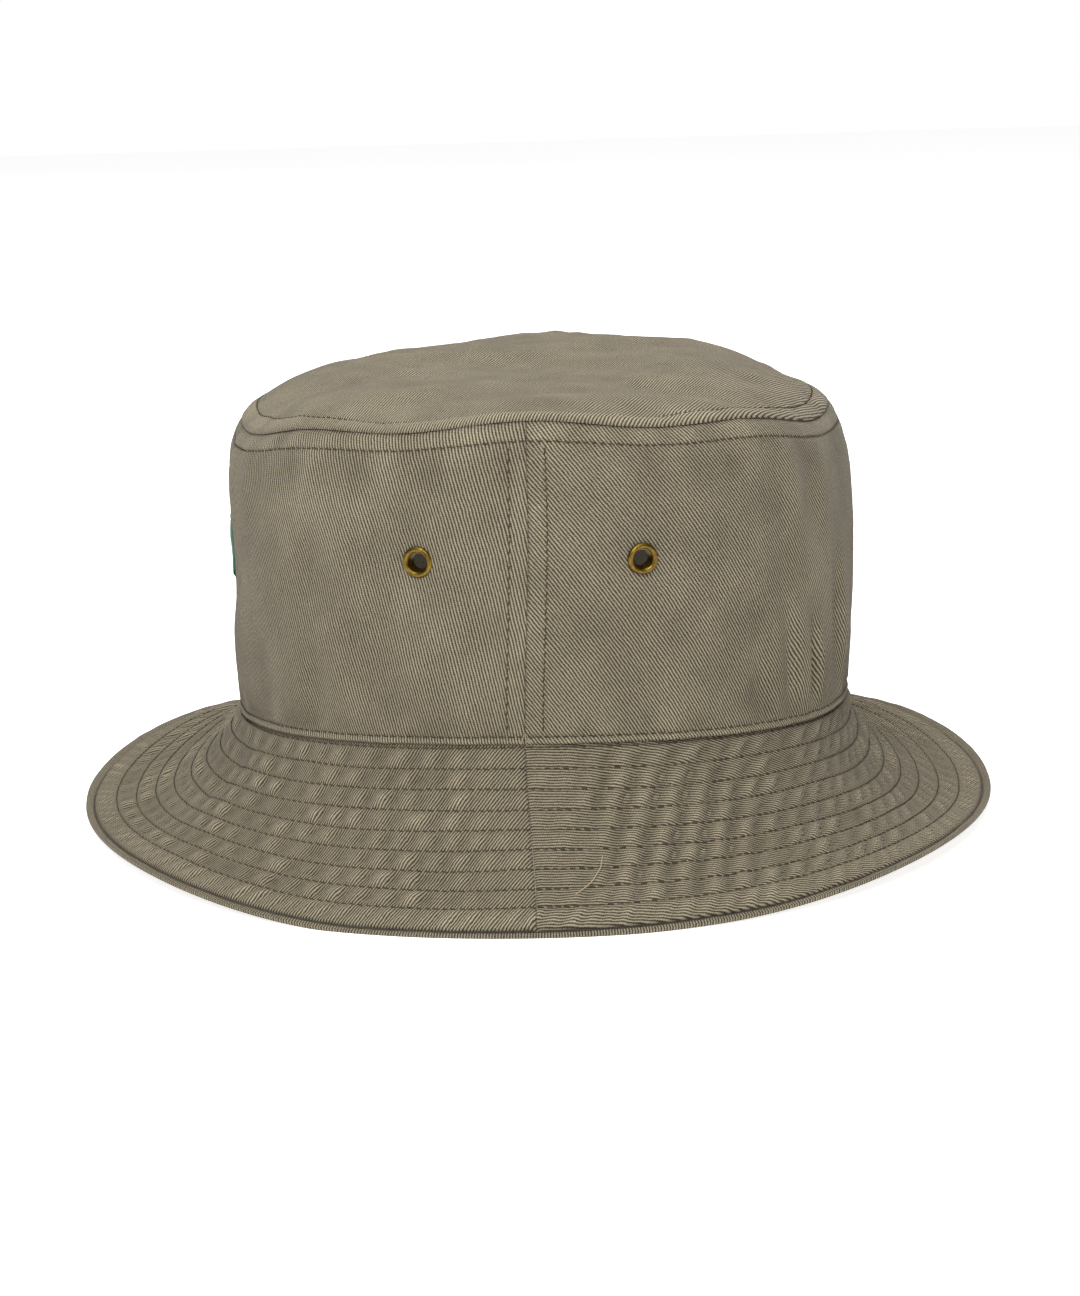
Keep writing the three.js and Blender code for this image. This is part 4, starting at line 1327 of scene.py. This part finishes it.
def bowed(centre_radius, centre_out, half_width, rise, steps=14):
    """The rounded top of a flange, from its inner side to its outer side."""
    turn = np.linspace(np.pi, 0, steps)
    return [(centre_radius + half_width * np.cos(angle), centre_out + rise * np.sin(angle)) for angle in turn]


EYELET_SIDES = 48
# Profiles as radius and height: the flange's rounded top, the barrel with its curled end, and the washer
FLANGE = bowed(centre_radius=3.84, centre_out=0.3, half_width=0.93, rise=0.95)
BARREL = [(4.6, 0.1), (2.98, 0.1), (2.98, -2.1), (3.6, -2.25), (3.6, -2.55), (2.5, -2.6), (2.5, -0.6),
          (2.72, -0.1)]
WASHER = [(3.25, -1.9), (3.25, -1.4), (4.75, -1.4), (4.75, -1.75), (4.5, -1.95)]


def add_eyelets():
    for end in ("front", "back"):
        for side in ("left", "right"):
            phi = float(angle_of(eyelet_arc(end, side)))
            height = EYELET_ABOVE_BASE_SEAM / NOMINAL_WALL * float(wall_height(phi))
            for kind, profile in (("eyelet", FLANGE + BARREL), ("eyelet_washer", WASHER)):
                node = f"{kind}_{side}_{end}"
                use(turned_piece(f"{node}_metal", profile, phi, height), "brass", node)


# The leaf's satin stitches: how many, their share of its height, and how far they slant up to its edge
LEAF_STITCHES = 66
LEAF_SPAN = (0.02, 0.86)
LEAF_SLANT = 0.13
LEAF_BLUNTNESS = 0.8
LEAF_THREAD_RADIUS = 0.3
# The padding under them, which is flat in the leaf's upper part
LEAF_LIFT = 0.1
LEAF_PADDING = 1.4
LEAF_PADDED_SPAN = (0.12, 0.92)
LEAF_PADDING_FADE = (0.85, 0.45)
# The midrib
MIDRIB_STITCHES = 15
MIDRIB_STITCH = 0.066
MIDRIB_LIFT = 0.3
MIDRIB_PADDING = 0.8
MIDRIB_RADIUS = 0.33


def leaf_side(side, along):
    """Slanting threads from the midrib to one edge of the leaf."""
    shares = np.linspace(*LEAF_SPAN, LEAF_STITCHES)
    up = shares[:, None] + LEAF_SLANT * along
    edge = LEAF_HALF_WIDTH * np.sin(np.pi * np.clip(shares + LEAF_SLANT, 0, 1)) ** LEAF_BLUNTNESS
    padded = np.sin(np.pi * lerp(*LEAF_PADDED_SPAN, along)) ** 0.5 * smoothstep(up, *LEAF_PADDING_FADE)
    arc = arc_of(FRONT) + side * edge[:, None] * along
    return leaf_threads(arc, up, LEAF_LIFT + LEAF_PADDING * padded, LEAF_THREAD_RADIUS)


def leaf_midrib(along):
    start = np.linspace(0, 0.99, MIDRIB_STITCHES)[:, None]
    up = start + MIDRIB_STITCH * along
    lift = MIDRIB_LIFT + MIDRIB_PADDING * smoothstep(start + 0 * along, *LEAF_PADDING_FADE)
    return leaf_threads(arc_of(FRONT) + 0 * up, up, lift, MIDRIB_RADIUS)


def leaf_threads(arc, up, lift, radius):
    """Threads on the crown wall, at shares of the leaf's height."""
    phi = angle_of(arc)
    height = LEAF_CENTRE_ABOVE_SEAM + (up - 0.5) * LEAF_HEIGHT
    centres = wall_face(phi, height, lift)
    upwards = normalised(wall_face(phi, height, lift + 1) - centres)
    return centres, upwards, np.full(centres.shape[1], radius), 0.0


def add_leaf():
    """A leaf in satin stitch."""
    along = np.linspace(0, 1, 7)
    groups = [leaf_side(-1, along), leaf_side(1, along), leaf_midrib(along)]
    use(thread_piece("front_embroidery_thread", groups, LEAF_SEED), "embroidery", "front_embroidery")


# -------- stage

# The camera's distance from the hat's axis and heights in millimetres, and its turn and roll in radians
CAMERA_DISTANCE = 884.14
CAMERA_HEIGHT = 281.23
CAMERA_TURN = 0.0327
CAMERA_ROLL = -0.0313
AIM_HEIGHT = 90.0
SENSOR = 36.0
LENS = 76.5906
# How far the view is shifted, as shares of the sensor's width
SHIFT_X = 0.007654
SHIFT_Y = -0.089444


def add_camera():
    """A camera beside the wearer's left, a little above the hat, aimed at a point over its middle."""
    turn = np.array([np.cos(CAMERA_TURN), np.sin(CAMERA_TURN)])
    position = Vector((*(CAMERA_DISTANCE * turn), CAMERA_HEIGHT))
    view = Vector((0, 0, AIM_HEIGHT)) - position
    data = bpy.data.cameras.new("camera")
    data.sensor_width = SENSOR
    data.lens = LENS
    data.shift_x = SHIFT_X
    data.shift_y = SHIFT_Y
    camera = bpy.data.objects.new("camera", data)
    camera.location = position * MM
    camera.rotation_mode = "QUATERNION"
    camera.rotation_quaternion = view.to_track_quat("-Z", "Y") @ Quaternion((0, 0, 1), CAMERA_ROLL)
    bpy.context.scene.collection.objects.link(camera)
    bpy.context.scene.camera = camera


# Each light's place and size in metres, and power in watts. They all face a point in the hat
LIGHTS = {"key": ((1.4, -0.17, 1.25), 0.7, 26.3), "top": ((0.1, -0.1, 1.7), 0.9, 16.0),
          "fill": ((-1.4, 0.3, 1.3), 1.0, 14.0)}
LIT_POINT = Vector((0, 0, 0.08))


def add_area_light(name, position, size, power):
    data = bpy.data.lights.new(name, "AREA")
    data.energy = power
    data.size = size
    light = bpy.data.objects.new(name, data)
    light.location = position
    light.rotation_mode = "QUATERNION"
    light.rotation_quaternion = (LIT_POINT - Vector(position)).to_track_quat("-Z", "Y")
    bpy.context.scene.collection.objects.link(light)


# How strongly the backdrop lights the hat, as a share of how bright it looks
AMBIENT = 0.15
FLOOR_HALF = 3000.0
FLOOR_WHITE = 0.8
FLOOR_GLOW = 0.8


def add_world():
    """A white backdrop, which lights the hat less than it shows."""
    world = bpy.data.worlds.new("studio")
    world.use_nodes = True
    tree = world.node_tree
    tree.nodes.clear()
    sight = add_node(tree, "ShaderNodeLightPath").outputs["Is Camera Ray"]
    strength = calculate(tree, "MULTIPLY_ADD", sight, 1 - AMBIENT, AMBIENT)
    backdrop = add_node(tree, "ShaderNodeBackground", [("Color", (1, 1, 1, 1)), ("Strength", strength)])
    output = add_node(tree, "ShaderNodeOutputWorld")
    tree.links.new(backdrop.outputs[0], output.inputs[0])
    bpy.context.scene.world = world
    bpy.context.scene.view_settings.view_transform = "Standard"


def add_floor():
    """A pale floor that glows a little, so that it fades into the backdrop."""
    half = FLOOR_HALF
    corners = np.array([[-half, -half, 0], [half, -half, 0], [half, half, 0], [-half, half, 0]])
    floor = mesh_piece("floor", corners, np.array([[0, 1, 2, 3]]))
    material, _, shader = new_material("pale_floor", roughness=0.9, specular=0.0)
    shader.inputs["Base Color"].default_value = (FLOOR_WHITE, FLOOR_WHITE, FLOOR_WHITE, 1)
    shader.inputs["Emission Color"].default_value = (1, 1, 1, 1)
    shader.inputs["Emission Strength"].default_value = FLOOR_GLOW
    floor.data.materials.append(material)


for each_end in ("front", "back"):
    add_side_panel(each_end)
    add_upper_panel(each_end)
    add_under_panel(each_end)
    add_interlining(each_end)
add_crown_tip()
add_crown_inside()
add_care_label()
add_brim_rows()
add_crown_rings()
add_side_seam_stitches()
add_eyelets()
add_leaf()
add_floor()
add_camera()
add_world()
for light_name, (light_place, light_size, light_power) in LIGHTS.items():
    add_area_light(light_name, light_place, light_size, light_power)
